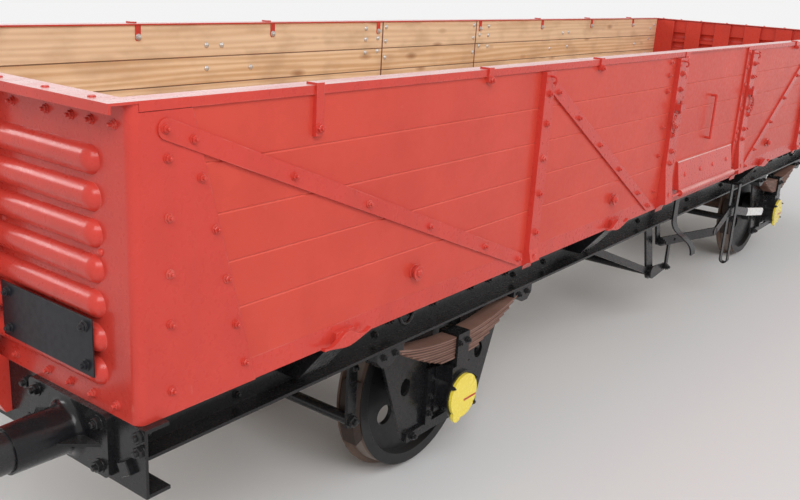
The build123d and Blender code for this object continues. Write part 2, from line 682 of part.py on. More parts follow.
# A curved flat spring under each door takes its weight when it drops.
DOOR_SPRING_WIDTH = 75.0
DOOR_SPRING_THICKNESS = 12.0
DOOR_SPRING_REACH = 164.0
DOOR_SPRING_DROP = 226.0
with BuildPart() as door_springs:
    with BuildSketch(Plane.YZ):
        with BuildLine():
            edges = []
            for thickness in (0.0, DOOR_SPRING_THICKNESS):
                root = -SOLEBAR_BACK - SOLEBAR_FLANGE - thickness
                run = Line((root, level(SOLEBAR_TOP - FRAME_TOE)), (root, level(SOLEBAR_FOOT)))
                tip = (root - DOOR_SPRING_REACH, level(SOLEBAR_FOOT - DOOR_SPRING_DROP))
                curve = Spline(run @ 1, tip, tangents=((0, -1), (0, -1)))
                edges.append((run @ 0, curve @ 1))
            for inner, outer in zip(*edges):
                Line(inner, outer)
        make_face()
    extrude(amount=DOOR_SPRING_WIDTH / 2, both=True)
    mirror(about=Plane.XZ)
save(door_springs, "door_springs")


def wheel_pair(place):
    """Both wheels of an axle: flanged rims on dished webs with round holes."""
    seat = FLANGE_BACK + RIM_WIDTH / 2
    hub = seat + HUB_SHIFT
    rim_inner = TREAD_RADIUS - RIM_THICKNESS
    web_top = rim_inner - WEB_THICKNESS / 2
    web_foot = HUB_RADIUS + WEB_THICKNESS / 2
    rim_profile = (
        (FLANGE_BACK, rim_inner),
        (FLANGE_BACK, TREAD_RADIUS + FLANGE_DEPTH / 2),
        (FLANGE_BACK + FLANGE_TIP[0], TREAD_RADIUS + FLANGE_DEPTH),
        (FLANGE_BACK + FLANGE_TIP[1], TREAD_RADIUS + FLANGE_DEPTH),
        (FLANGE_BACK + FLANGE_ROOT, TREAD_RADIUS + TREAD_FALL),
        (FLANGE_BACK + RIM_WIDTH, TREAD_RADIUS - TREAD_FALL),
        (FLANGE_BACK + RIM_WIDTH, rim_inner),
        (seat + WEB_THICKNESS, web_top),
        (seat + 2 * WEB_THICKNESS, web_foot),
        (hub + HUB_LENGTH / 2, HUB_RADIUS),
        (hub + HUB_LENGTH / 2, WHEEL_SEAT_RADIUS),
        (hub - HUB_LENGTH / 2, WHEEL_SEAT_RADIUS),
        (hub - HUB_LENGTH / 2, HUB_RADIUS),
        (seat + WEB_THICKNESS, web_foot),
        (seat, web_top),
    )
    with BuildPart() as wheels:
        with BuildSketch(Plane.YZ.offset(place)):
            with BuildLine():
                Polyline(*[(across, level(TREAD_RADIUS + radius)) for across, radius in rim_profile], close=True)
            make_face()
        revolve(axis=Axis((place, 0, level(TREAD_RADIUS)), (0, 1, 0)))
        hole_ring = (rim_inner + HUB_RADIUS) / 2
        with BuildSketch(Plane.XZ.offset(-FLANGE_BACK)):
            with Locations((place, level(TREAD_RADIUS))):
                with PolarLocations(hole_ring, WHEEL_HOLE_COUNT, start_angle=90):
                    Circle(WHEEL_HOLE_RADIUS)
        extrude(amount=-2 * RIM_WIDTH, mode=Mode.SUBTRACT)
        mirror(about=Plane.XZ)
    return wheels


def axle(place):
    """One axle with its wheel seats and its journals."""
    seat = FLANGE_BACK + RIM_WIDTH / 2 + HUB_SHIFT
    shoulder = BOX_BACK - GUARD_THICKNESS
    profile = (
        (0, 0),
        (0, AXLE_RADIUS),
        (seat - HUB_LENGTH / 2, AXLE_RADIUS),
        (seat - HUB_LENGTH / 2, WHEEL_SEAT_RADIUS),
        (seat + HUB_LENGTH / 2, WHEEL_SEAT_RADIUS),
        (shoulder, WHEEL_SEAT_RADIUS - GUARD_THICKNESS),
        (shoulder, JOURNAL_RADIUS),
        (JOURNAL_END, JOURNAL_RADIUS),
        (JOURNAL_END, 0),
    )
    with BuildPart() as shaft:
        with BuildSketch(Plane.YZ.offset(place)):
            with BuildLine():
                Polyline(*[(across, level(TREAD_RADIUS + radius)) for across, radius in profile], close=True)
            make_face()
        revolve(axis=Axis((place, 0, level(TREAD_RADIUS)), (0, 1, 0)))
        mirror(about=Plane.XZ)
    return shaft


for name, place in (("front", -WHEELBASE / 2), ("rear", WHEELBASE / 2)):
    save(wheel_pair(place), f"wheels_{name}")
    save(axle(place), f"axle_{name}")

# Running gear is drawn at the left front wheel and mirrored to all four.
# The axlebox is a round barrel in a block that slides in the horn guides, with a saddle under the spring's buckle.
SADDLE_WIDTH = 150.0
BLOCK_DEPTH = 90.0
BARREL_END = BOX_FRONT - BOX_FLANGE_THICKNESS
with BuildPart() as axleboxes:
    with BuildSketch(Plane.XZ.offset(BOX_BACK)):
        with Locations((-WHEELBASE / 2, level(TREAD_RADIUS - BOX_DROP))):
            Rectangle(BOX_WIDTH, BOX_DROP + BOX_RISE, align=(Align.CENTER, Align.MIN))
    extrude(amount=BLOCK_DEPTH)
    with BuildSketch(Plane.XZ.offset(BOX_BACK)):
        with Locations((-WHEELBASE / 2, level(TREAD_RADIUS))):
            Circle(BOX_BARREL_RADIUS)
            Rectangle(SADDLE_WIDTH, BOX_RISE, align=(Align.CENTER, Align.MIN))
    extrude(amount=BARREL_END - BOX_BACK)
    with BuildSketch(Plane.XZ.offset(BARREL_END)):
        with Locations((-WHEELBASE / 2, level(TREAD_RADIUS))):
            Circle(BOX_FLANGE_RADIUS)
    extrude(amount=BOX_FLANGE_THICKNESS)
    with BuildSketch(Plane.XZ.offset(BOX_BACK)):
        with Locations((-WHEELBASE / 2, level(TREAD_RADIUS))):
            Circle(JOURNAL_RADIUS + JOURNAL_CLEARANCE)
    extrude(amount=JOURNAL_END + JOURNAL_END_GAP - BOX_BACK, mode=Mode.SUBTRACT)
    mirror(about=Plane.YZ)
    mirror(about=Plane.XZ)
save(axleboxes, "axleboxes")

COVER_RADIUS = 112.0
COVER_THICKNESS = 16.0
LOBE_RADIUS = 38.0
LOBE_PLACE = (-50.0, -90.0)
with BuildPart() as axlebox_covers:
    with BuildSketch(Plane.XZ.offset(BOX_FRONT)):
        with Locations((-WHEELBASE / 2, level(TREAD_RADIUS))):
            Circle(COVER_RADIUS)
            with Locations(LOBE_PLACE):
                Circle(LOBE_RADIUS)
    extrude(amount=COVER_THICKNESS)
    with Locations((WHEELBASE, 0, 0)):
        add(axlebox_covers.part)
    mirror(about=Plane.XZ)
save(axlebox_covers, "axlebox_covers")

# The W-irons are plates behind the solebars, each with a slot for the axlebox and two oval holes.
HORN_HALF = BOX_WIDTH / 2 + SLIDING_GAP
IRON_HALF = 545.0
IRON_LEG_HALF = 325.0
IRON_FOOT = TREAD_RADIUS - 184.0
HORN_TOP = SOLEBAR_FOOT - 60.0
OVAL_PLACE = 313.0
OVAL_RISE = 107.0
OVAL_RADII = (37.0, 45.0)
with BuildPart() as iron:
    with BuildSketch(Plane.XZ.offset(SOLEBAR_BACK - GUARD_THICKNESS)):
        with BuildLine():
            Polyline(
                (-IRON_HALF, level(SOLEBAR_TOP - 3 * FRAME_TOE)),
                (-IRON_HALF, level(SOLEBAR_FOOT)),
                (-IRON_LEG_HALF, level(IRON_FOOT + 2 * FRAME_TOE)),
                (-IRON_LEG_HALF + 2 * FRAME_TOE, level(IRON_FOOT)),
                (IRON_LEG_HALF - 2 * FRAME_TOE, level(IRON_FOOT)),
                (IRON_LEG_HALF, level(IRON_FOOT + 2 * FRAME_TOE)),
                (IRON_HALF, level(SOLEBAR_FOOT)),
                (IRON_HALF, level(SOLEBAR_TOP - 3 * FRAME_TOE)),
                close=True,
            )
        make_face()
        with Locations((0, level(IRON_FOOT))):
            Rectangle(2 * HORN_HALF, HORN_TOP - IRON_FOOT, align=(Align.CENTER, Align.MIN), mode=Mode.SUBTRACT)
        for across in (-1, 1):
            with Locations((across * OVAL_PLACE, level(TREAD_RADIUS + OVAL_RISE))):
                Ellipse(*OVAL_RADII, mode=Mode.SUBTRACT)
    extrude(amount=GUARD_THICKNESS)
with BuildPart() as w_irons:
    for place in (-WHEELBASE / 2, WHEELBASE / 2):
        with Locations((place, 0, 0)):
            add(iron.part)
    mirror(about=Plane.XZ)
save(w_irons, "w_irons")

# Horn guides edge each slot, and a tie bar joins the W-iron's two feet under the axlebox.
GUIDE_WIDTH = 50.0
GUIDE_DEPTH = 26.0
TIE_HEIGHT = 46.0
with BuildPart() as horn_guides:
    for side in (-1, 1):
        across = -WHEELBASE / 2 + side * (HORN_HALF + GUIDE_WIDTH / 2)
        with Locations((across, -SOLEBAR_BACK, level(IRON_FOOT + TIE_HEIGHT))):
            Box(
                GUIDE_WIDTH,
                GUIDE_DEPTH,
                TREAD_RADIUS + BOX_RISE - IRON_FOOT - TIE_HEIGHT,
                align=(Align.CENTER, Align.MAX, Align.MIN),
            )
    with Locations((-WHEELBASE / 2, -SOLEBAR_BACK, level(IRON_FOOT))):
        Box(
            2 * IRON_LEG_HALF - 4 * FRAME_TOE,
            GUARD_THICKNESS,
            TIE_HEIGHT,
            align=(Align.CENTER, Align.MAX, Align.MIN),
        )
    mirror(about=Plane.YZ)
    mirror(about=Plane.XZ)
save(horn_guides, "horn_guides")

with BuildPart() as springs:
    radius = (SPRING_HALF_LENGTH**2 + SPRING_SAG**2) / (2 * SPRING_SAG)
    for leaf in range(SPRING_LEAVES):
        inner_radius = radius + leaf * LEAF_THICKNESS
        half = asin(SPRING_HALF_LENGTH * (1 - LEAF_STEP * leaf) / radius)
        centre = (-WHEELBASE / 2, level(SPRING_END_HEIGHT - SPRING_SAG + radius))
        with BuildSketch(Plane.XZ.offset(SPRING_OFFSET)):
            with BuildLine():
                top = CenterArc(centre, inner_radius, 270 - degrees(half), 2 * degrees(half))
                foot = CenterArc(centre, inner_radius + LEAF_THICKNESS, 270 - degrees(half), 2 * degrees(half))
                Line(top @ 0, foot @ 0)
                Line(top @ 1, foot @ 1)
            make_face()
        extrude(amount=LEAF_WIDTH / 2 - LEAF_INSET * (leaf % 2), both=True)
    mirror(about=Plane.YZ)
    mirror(about=Plane.XZ)
save(springs, "springs")

SPRING_TOP = SPRING_END_HEIGHT - SPRING_SAG
SPRING_BOTTOM = SPRING_TOP - SPRING_LEAVES * LEAF_THICKNESS
BUCKLE_WALL = 14.0
BUCKLE_WIDTH = 96.0
with BuildPart() as spring_buckles:
    with Locations((-WHEELBASE / 2, -SPRING_OFFSET, level(BOX_TOP))):
        Box(
            BUCKLE_WIDTH,
            LEAF_WIDTH + 2 * BUCKLE_WALL,
            SPRING_TOP + BUCKLE_WALL - BOX_TOP,
            align=(Align.CENTER, Align.CENTER, Align.MIN),
        )
    with Locations((-WHEELBASE / 2, -SPRING_OFFSET, level(SPRING_BOTTOM))):
        Box(
            2 * BUCKLE_WIDTH,
            LEAF_WIDTH,
            SPRING_TOP - SPRING_BOTTOM,
            align=(Align.CENTER, Align.CENTER, Align.MIN),
            mode=Mode.SUBTRACT,
        )
    mirror(about=Plane.YZ)
    mirror(about=Plane.XZ)
    add(springs.part, mode=Mode.SUBTRACT)
save(spring_buckles, "spring_buckles")

# Shoes under the solebars hold the springs' ends.
SHOE_START = SPRING_HALF_LENGTH - 48.0
SHOE_LENGTH = 186.0
SHOE_LUG = 76.0
with BuildPart() as spring_shoes:
    for end in (-1, 1):
        with BuildSketch(Plane.XZ.offset(SPRING_OFFSET - LEAF_WIDTH / 2)):
            start = -WHEELBASE / 2 + end * SHOE_START
            Polygon(
                (start, level(SOLEBAR_FOOT)),
                (start + end * SHOE_LENGTH, level(SOLEBAR_FOOT)),
                (start + end * SHOE_LENGTH, level(SOLEBAR_FOOT - SHOE_LUG / 2)),
                (start + end * (SHOE_LENGTH - SHOE_LUG / 2), level(SOLEBAR_FOOT - SHOE_LUG)),
                (start + end * SHOE_LENGTH / 2, level(SOLEBAR_FOOT - SHOE_LUG)),
                (start, level(SPRING_END_HEIGHT - LEAF_THICKNESS)),
                align=None,
            )
        extrude(amount=LEAF_WIDTH)
    mirror(about=Plane.YZ)
    mirror(about=Plane.XZ)
    add(springs.part, mode=Mode.SUBTRACT)
save(spring_shoes, "spring_shoes")

BUFFER_FACE = BODY_LENGTH / 2 + BUFFER_REACH
with BuildPart() as buffer_housings:
    with BuildSketch(Plane.YZ.offset(-BODY_LENGTH / 2)):
        with Locations((-BUFFER_OFFSET, level(SOLEBAR_TOP - BUFFER_BASE_HEIGHT / 2))):
            RectangleRounded(BUFFER_BASE_WIDTH, BUFFER_BASE_HEIGHT, BUFFER_BASE_THICKNESS)
    extrude(amount=-BUFFER_BASE_THICKNESS)
    # The barrel flares into its base and tapers to its nose.
    with BuildSketch(Plane.XY.offset(level(BUFFER_HEIGHT))):
        with BuildLine():
            root = -BODY_LENGTH / 2 - BUFFER_BASE_THICKNESS
            nose = -BODY_LENGTH / 2 - BUFFER_BARREL_LENGTH
            flare = RadiusArc(
                (root, -BUFFER_OFFSET - BUFFER_BARREL_RADIUS - BUFFER_FLARE_RADIUS),
                (root - BUFFER_FLARE_RADIUS, -BUFFER_OFFSET - BUFFER_BARREL_RADIUS),
                -BUFFER_FLARE_RADIUS,
            )
            Polyline(
                flare @ 1,
                (nose, -BUFFER_OFFSET - BUFFER_NOSE_RADIUS),
                (nose, -BUFFER_OFFSET),
                (root, -BUFFER_OFFSET),
                flare @ 0,
            )
        make_face()
    revolve(axis=Axis((0, -BUFFER_OFFSET, level(BUFFER_HEIGHT)), (1, 0, 0)))
    # A web on each side braces the barrel from the base.
    with BuildSketch(Plane.XY.offset(level(BUFFER_HEIGHT))):
        Polygon(
            (-BODY_LENGTH / 2 - BUFFER_BASE_THICKNESS, -BUFFER_OFFSET - BUFFER_WEB_HALF),
            (-BODY_LENGTH / 2 - BUFFER_BASE_THICKNESS, -BUFFER_OFFSET + BUFFER_WEB_HALF),
            (-BODY_LENGTH / 2 - BUFFER_WEB_REACH, -BUFFER_OFFSET + RAM_RADIUS),
            (-BODY_LENGTH / 2 - BUFFER_WEB_REACH, -BUFFER_OFFSET - RAM_RADIUS),
            align=None,
        )
    extrude(amount=FRAME_WEB / 2, both=True)
    with BuildSketch(Plane.YZ.offset(-BODY_LENGTH / 2 - BUFFER_BARREL_LENGTH)):
        with Locations((-BUFFER_OFFSET, level(BUFFER_HEIGHT))):
            Circle(RAM_RADIUS + SLIDING_GAP)
    extrude(amount=BUFFER_BARREL_LENGTH - BUFFER_BASE_THICKNESS, mode=Mode.SUBTRACT)
    mirror(about=Plane.XZ)
    mirror(about=Plane.YZ)
save(buffer_housings, "buffer_housings")

HEAD_FLAT_RADIUS = 105.0
HEAD_DOME = 10.0
HEAD_THICKNESS = 30.0
with BuildPart() as buffer_rams:
    with BuildSketch(Plane.XY.offset(level(BUFFER_HEIGHT))):
        with BuildLine():
            face = -BUFFER_FACE
            root = -BODY_LENGTH / 2 - BUFFER_BARREL_LENGTH / 4
            flat_end = (face, -BUFFER_OFFSET - HEAD_FLAT_RADIUS)
            Line((face, -BUFFER_OFFSET), flat_end)
            dome = TangentArc(flat_end, (face + HEAD_DOME, -BUFFER_OFFSET - BUFFER_HEAD_RADIUS), tangent=(0, -1))
            Polyline(
                dome @ 1,
                (face + HEAD_THICKNESS, -BUFFER_OFFSET - BUFFER_HEAD_RADIUS),
                (face + HEAD_THICKNESS + HEAD_DOME, -BUFFER_OFFSET - RAM_RADIUS - 2 * HEAD_DOME),
                (face + HEAD_THICKNESS + 3 * HEAD_DOME, -BUFFER_OFFSET - RAM_RADIUS),
                (root, -BUFFER_OFFSET - RAM_RADIUS),
                (root, -BUFFER_OFFSET),
                (face, -BUFFER_OFFSET),
            )
        make_face()
    revolve(axis=Axis((0, -BUFFER_OFFSET, level(BUFFER_HEIGHT)), (1, 0, 0)))
    mirror(about=Plane.XZ)
    mirror(about=Plane.YZ)
save(buffer_rams, "buffer_rams")

HOOK_THICKNESS = 44.0
HOOK_RADIUS = 80.0
HOOK_SHANK = 110.0
HOOK_PLATE_WIDTH = 220.0
HOOK_PLATE_HEIGHT = 150.0
HOOK_PLATE_THICKNESS = 20.0
HOOK_OUT = 150.0
LINK_RADIUS = 17.0
LINK_LENGTH = 170.0
LINK_WIDTH = 48.0
LINK_COUNT = 3
THROAT_RADIUS = LINK_RADIUS + 14.0
THROAT_PLACE = -BODY_LENGTH / 2 - HOOK_OUT
THROAT_HEIGHT = BUFFER_HEIGHT + THROAT_RADIUS - LINK_RADIUS
with BuildPart() as draw_hooks:
    with BuildSketch(Plane.YZ.offset(-BODY_LENGTH / 2)):
        with Locations((0, level(BUFFER_HEIGHT))):
            RectangleRounded(HOOK_PLATE_WIDTH, HOOK_PLATE_HEIGHT, HOOK_PLATE_THICKNESS)
    extrude(amount=-HOOK_PLATE_THICKNESS)
    with BuildSketch(Plane.XZ):
        with Locations((-BODY_LENGTH / 2, level(BUFFER_HEIGHT))):
            Rectangle(HOOK_SHANK, HOOK_RADIUS, align=(Align.MAX, Align.CENTER))
        with Locations((THROAT_PLACE, level(BUFFER_HEIGHT))):
            Circle(HOOK_RADIUS)
        with Locations((THROAT_PLACE, level(THROAT_HEIGHT))):
            Circle(THROAT_RADIUS, mode=Mode.SUBTRACT)
            Rectangle(2 * THROAT_RADIUS, HOOK_RADIUS, align=(Align.CENTER, Align.MIN), mode=Mode.SUBTRACT)
    extrude(amount=HOOK_THICKNESS / 2, both=True)
    mirror(about=Plane.YZ)
save(draw_hooks, "draw_hooks")


def link(place, top, turned):
    """One long link of round bar that hangs from its top bar's centre height."""
    plane = Plane(
        origin=(place, 0, level(top) - LINK_LENGTH / 2 - LINK_WIDTH),
        x_dir=(0, 0, 1),
        z_dir=(0, 1, 0) if turned else (1, 0, 0),
    )
    with BuildPart() as chain_link:
        with BuildLine(plane):
            left_bar = Line((-LINK_LENGTH / 2, LINK_WIDTH), (LINK_LENGTH / 2, LINK_WIDTH))
            CenterArc((LINK_LENGTH / 2, 0), LINK_WIDTH, -90, 180)
            Line((LINK_LENGTH / 2, -LINK_WIDTH), (-LINK_LENGTH / 2, -LINK_WIDTH))
            CenterArc((-LINK_LENGTH / 2, 0), LINK_WIDTH, 90, 180)
        with BuildSketch(Plane(origin=left_bar @ 0, z_dir=left_bar % 0)):
            Circle(LINK_RADIUS)
        sweep()
    return chain_link.part


# A link's bend rises at the hook's edges, so the top link rides a little above the throat.
LINK_INNER = LINK_WIDTH - LINK_RADIUS
LINK_LIFT = LINK_INNER - sqrt(LINK_INNER**2 - (HOOK_THICKNESS / 2) ** 2) + SLIDING_GAP
LINK_DROP = LINK_LENGTH + 2 * LINK_WIDTH - 2 * LINK_RADIUS - SLIDING_GAP
with BuildPart() as couplings:
    for step in range(LINK_COUNT):
        add(link(THROAT_PLACE, BUFFER_HEIGHT - step * LINK_DROP + LINK_LIFT, step % 2 == 1))
    mirror(about=Plane.YZ)
save(couplings, "couplings")

# Each wheel has a brake block in front of it and one behind it, a little below the axle.
SHOE_INNER = TREAD_RADIUS + SHOE_GAP
SHOE_BACK = FLANGE_BACK + RIM_WIDTH - SHOE_WIDTH
with BuildPart() as brake_blocks:
    for end in (-1, 1):
        with BuildSketch(Plane.XZ.offset(SHOE_BACK)):
            middle = 270 + end * (90 - SHOE_DROP_ANGLE)
            with BuildLine():
                centre = (-WHEELBASE / 2, level(TREAD_RADIUS))
                inner = CenterArc(centre, SHOE_INNER, middle - SHOE_HALF_ANGLE, 2 * SHOE_HALF_ANGLE)
                outer = CenterArc(centre, SHOE_INNER + SHOE_THICKNESS, middle - SHOE_HALF_ANGLE, 2 * SHOE_HALF_ANGLE)
                Line(inner @ 0, outer @ 0)
                Line(inner @ 1, outer @ 1)
            make_face()
        extrude(amount=SHOE_WIDTH)
    mirror(about=Plane.YZ)
    mirror(about=Plane.XZ)
save(brake_blocks, "brake_blocks")

SHOE_CENTRE = SHOE_INNER + SHOE_THICKNESS
SHOE_OUT = SHOE_CENTRE * cos(radians(SHOE_DROP_ANGLE))
SHOE_LEVEL = TREAD_RADIUS - SHOE_CENTRE * sin(radians(SHOE_DROP_ANGLE))
BEAM_RADIUS = 28.0
BEAM_PLACE = SHOE_OUT + BEAM_RADIUS
HANGER_TOP_RISE = 40.0
HANGER_TOP = SOLEBAR_TOP - LONGITUDINAL_DEPTH + HANGER_TOP_RISE
HANGER_WIDTH = 60.0
HANGER_THICKNESS = 16.0
HANGER_PIN_RADIUS = 30.0
SHOE_FRONT = SHOE_BACK + SHOE_WIDTH
with BuildPart() as brake_beams:
    for end in (-1, 1):
        with BuildSketch(Plane.XZ):
            with Locations((-WHEELBASE / 2 + end * BEAM_PLACE, level(SHOE_LEVEL))):
                Circle(BEAM_RADIUS)
        extrude(amount=SHOE_FRONT, both=True)
    mirror(about=Plane.YZ)
    add(brake_blocks.part, mode=Mode.SUBTRACT)
save(brake_beams, "brake_beams")

with BuildPart() as brake_hangers:
    for end in (-1, 1):
        place = -WHEELBASE / 2 + end * BEAM_PLACE
        with BuildSketch(Plane.XZ.offset(SHOE_FRONT)):
            with Locations((place, level(SHOE_LEVEL - HANGER_WIDTH / 2))):
                Rectangle(HANGER_WIDTH, HANGER_TOP - SHOE_LEVEL + HANGER_WIDTH / 2, align=(Align.CENTER, Align.MIN))
        extrude(amount=HANGER_THICKNESS)
        # The hanger's pin reaches across to the W-iron.
        with BuildSketch(Plane.XZ.offset(SHOE_FRONT)):
            with Locations((place, level(HANGER_TOP))):
                Circle(HANGER_PIN_RADIUS)
        extrude(amount=SOLEBAR_BACK - GUARD_THICKNESS - SHOE_FRONT)
    mirror(about=Plane.YZ)
    mirror(about=Plane.XZ)
save(brake_hangers, "brake_hangers")

def bar_outline(start, stop, start_width, stop_width):
    """Draws a tapered flat bar between two points of a sketch."""
    run, rise = stop[0] - start[0], stop[1] - start[1]
    length = hypot(run, rise)
    across, up = -rise / length / 2, run / length / 2
    Polygon(
        (start[0] + across * start_width, start[1] + up * start_width),
        (start[0] - across * start_width, start[1] - up * start_width),
        (stop[0] - across * stop_width, stop[1] - up * stop_width),
        (stop[0] + across * stop_width, stop[1] + up * stop_width),
        align=None,
    )


SHAFT_REACH = SOLEBAR_BACK + 27.0
CRANK_RADIUS = 51.0
END_CRANK_THICKNESS = 14.0
END_CRANK_WIDTHS = (90.0, 50.0)
LEVER_LINK_PLACE = 140.0
with BuildPart() as brake_shaft:
    with BuildSketch(Plane.XZ):
        with Locations((SHAFT_PLACE, level(SHAFT_HEIGHT))):
            Circle(SHAFT_RADIUS)
    extrude(amount=SHAFT_REACH, both=True)
    # Its middle crank pulls both rods.
    with BuildSketch(Plane.XZ):
        with Locations((SHAFT_PLACE, level(SHAFT_HEIGHT))):
            Circle(CRANK_RADIUS)
        with Locations((SHAFT_PLACE, level(SHOE_LEVEL))):
            Circle(CRANK_RADIUS)
            Rectangle(2 * CRANK_RADIUS, SHAFT_HEIGHT - SHOE_LEVEL, align=(Align.CENTER, Align.MIN))
    extrude(amount=CRANK_RADIUS, both=True)
    # A crank at each end is turned by the hand lever's link.
    for side in (1, -1):
        with BuildSketch(Plane.XZ.offset(SHAFT_REACH - END_CRANK_THICKNESS if side > 0 else -SHAFT_REACH)):
            shaft_spot = (SHAFT_PLACE, level(SHAFT_HEIGHT))
            link_spot = (side * LEVER_LINK_PLACE, level(SHAFT_HEIGHT))
            bar_outline(shaft_spot, link_spot, *END_CRANK_WIDTHS)
            for spot, width in zip((shaft_spot, link_spot), END_CRANK_WIDTHS):
                with Locations(spot):
                    Circle(width / 2)
        extrude(amount=END_CRANK_THICKNESS)
save(brake_shaft, "brake_shaft")

# The shaft's hanger has a steep arm and a long brace, and is turned half round on the right side.
HANGER_PLATE = 16.0
ARM_LEAN = 205.0
ARM_WIDTH = 100.0
BRACE_REACH = 1150.0
BRACE_WIDTH = 46.0
BOSS_RADIUS = 52.0
with BuildPart() as v_hangers:
    for side in (1, -1):
        start = SOLEBAR_BACK - HANGER_PLATE if side > 0 else -SOLEBAR_BACK
        with BuildSketch(Plane.XZ.offset(start)):
            centre = (SHAFT_PLACE, level(SHAFT_HEIGHT))
            arm_top = (SHAFT_PLACE - side * ARM_LEAN, level(SOLEBAR_TOP - 4 * FRAME_TOE))
            brace_top = (SHAFT_PLACE - side * BRACE_REACH, level(SOLEBAR_FOOT + 2 * FRAME_TOE))
            bar_outline(arm_top, centre, ARM_WIDTH, ARM_WIDTH)
            bar_outline(brace_top, centre, BRACE_WIDTH, BRACE_WIDTH)
            with Locations(centre):
                Circle(BOSS_RADIUS)
                Circle(SHAFT_RADIUS + JOURNAL_CLEARANCE, mode=Mode.SUBTRACT)
        extrude(amount=HANGER_PLATE)
save(v_hangers, "v_hangers")

CYLINDER_PLACE = 300.0
CYLINDER_RADIUS = 215.0
CYLINDER_HEIGHT = 440.0
CYLINDER_PLATE = 20.0
with BuildPart() as brake_cylinder:
    with Locations((CYLINDER_PLACE, 0, level(SOLEBAR_TOP - LONGITUDINAL_DEPTH))):
        Cylinder(CYLINDER_RADIUS, CYLINDER_HEIGHT, align=(Align.CENTER, Align.CENTER, Align.MAX))
        Box(
            CYLINDER_RADIUS,
            2 * (LONGITUDINAL_OFFSET + LONGITUDINAL_FLANGE),
            CYLINDER_PLATE,
            align=(Align.CENTER, Align.CENTER, Align.MAX),
        )
save(brake_cylinder, "brake_cylinder")

ROD_RADIUS = 16.0
with BuildPart() as brake_rods:
    for end in (-1, 1):
        beam = end * (WHEELBASE / 2 - BEAM_PLACE - BEAM_RADIUS - SLIDING_GAP)
        with BuildSketch(Plane.YZ.offset(SHAFT_PLACE + end * CRANK_RADIUS)):
            with Locations((0, level(SHOE_LEVEL))):
                Circle(ROD_RADIUS)
        extrude(amount=beam - SHAFT_PLACE - end * CRANK_RADIUS)
save(brake_rods, "brake_rods")

# Each lever turns on a bracket under the solebar, leans out and runs through a guide to its grip.
# On the left side it points to the rear, and on the right side to the front.
LEVER_START = SOLEBAR_BACK + 25.0
LEVER_LINE = SOLEBAR_BACK + 170.0
LEVER_THICKNESS = 14.0
LEVER_WIDTH = 64.0
LEVER_PIVOT = (-20.0, 223.0)
LEVER_PIN_RADIUS = 18.0
LEVER_POINTS = ((695.0, 193.0), (940.0, 289.0), (1130.0, 284.0), (1437.0, 219.0))
GRIP_END = (1895.0, 143.0)
LEVER_LINK_PIN_RADIUS = 12.0
LEVER_LINK_WIDTH = 40.0
LEVER_LINK_THICKNESS = 14.0
PIVOT_RISE = SHAFT_HEIGHT + LEVER_PIVOT[1]
LEVER_SLOPE = (LEVER_POINTS[0][1] - LEVER_PIVOT[1]) / (LEVER_POINTS[0][0] - LEVER_PIVOT[0])
LEVER_LINK_TOP = PIVOT_RISE + LEVER_SLOPE * (LEVER_LINK_PLACE - LEVER_PIVOT[0])
with BuildPart() as brake_levers:
    for side in (1, -1):
        run = side * (LEVER_POINTS[0][0] - LEVER_PIVOT[0])
        lean = side * (LEVER_START - LEVER_LINE)
        fall = LEVER_POINTS[0][1] - LEVER_PIVOT[1]
        leaning = Plane(
            origin=(side * LEVER_PIVOT[0], -side * LEVER_START, level(PIVOT_RISE)),
            x_dir=(run, lean, 0),
            z_dir=(lean, -run, 0),
        )
        with BuildSketch(leaning):
            bar_outline((0, 0), (hypot(run, lean), fall), LEVER_WIDTH, LEVER_WIDTH)
            with Locations((0, 0), (hypot(run, lean), fall)):
                Circle(LEVER_WIDTH / 2)
        extrude(amount=LEVER_THICKNESS)
        with BuildSketch(Plane.XZ.offset(LEVER_LINE if side > 0 else -LEVER_LINE - LEVER_THICKNESS)):
            for start, stop in zip(LEVER_POINTS, LEVER_POINTS[1:]):
                corners = [(side * out, level(SHAFT_HEIGHT + rise)) for out, rise in (start, stop)]
                bar_outline(*corners, LEVER_WIDTH, LEVER_WIDTH)
                with Locations(*corners):
                    Circle(LEVER_WIDTH / 2)
        extrude(amount=LEVER_THICKNESS)
        with BuildSketch(Plane.XZ):
            with Locations((side * LEVER_PIVOT[0], level(PIVOT_RISE))):
                Circle(LEVER_PIN_RADIUS + JOURNAL_CLEARANCE)
            with Locations((side * LEVER_LINK_PLACE, level(LEVER_LINK_TOP))):
                Circle(LEVER_LINK_PIN_RADIUS + JOURNAL_CLEARANCE)
        extrude(amount=side * LEVER_LINE, mode=Mode.SUBTRACT)
save(brake_levers, "brake_levers")

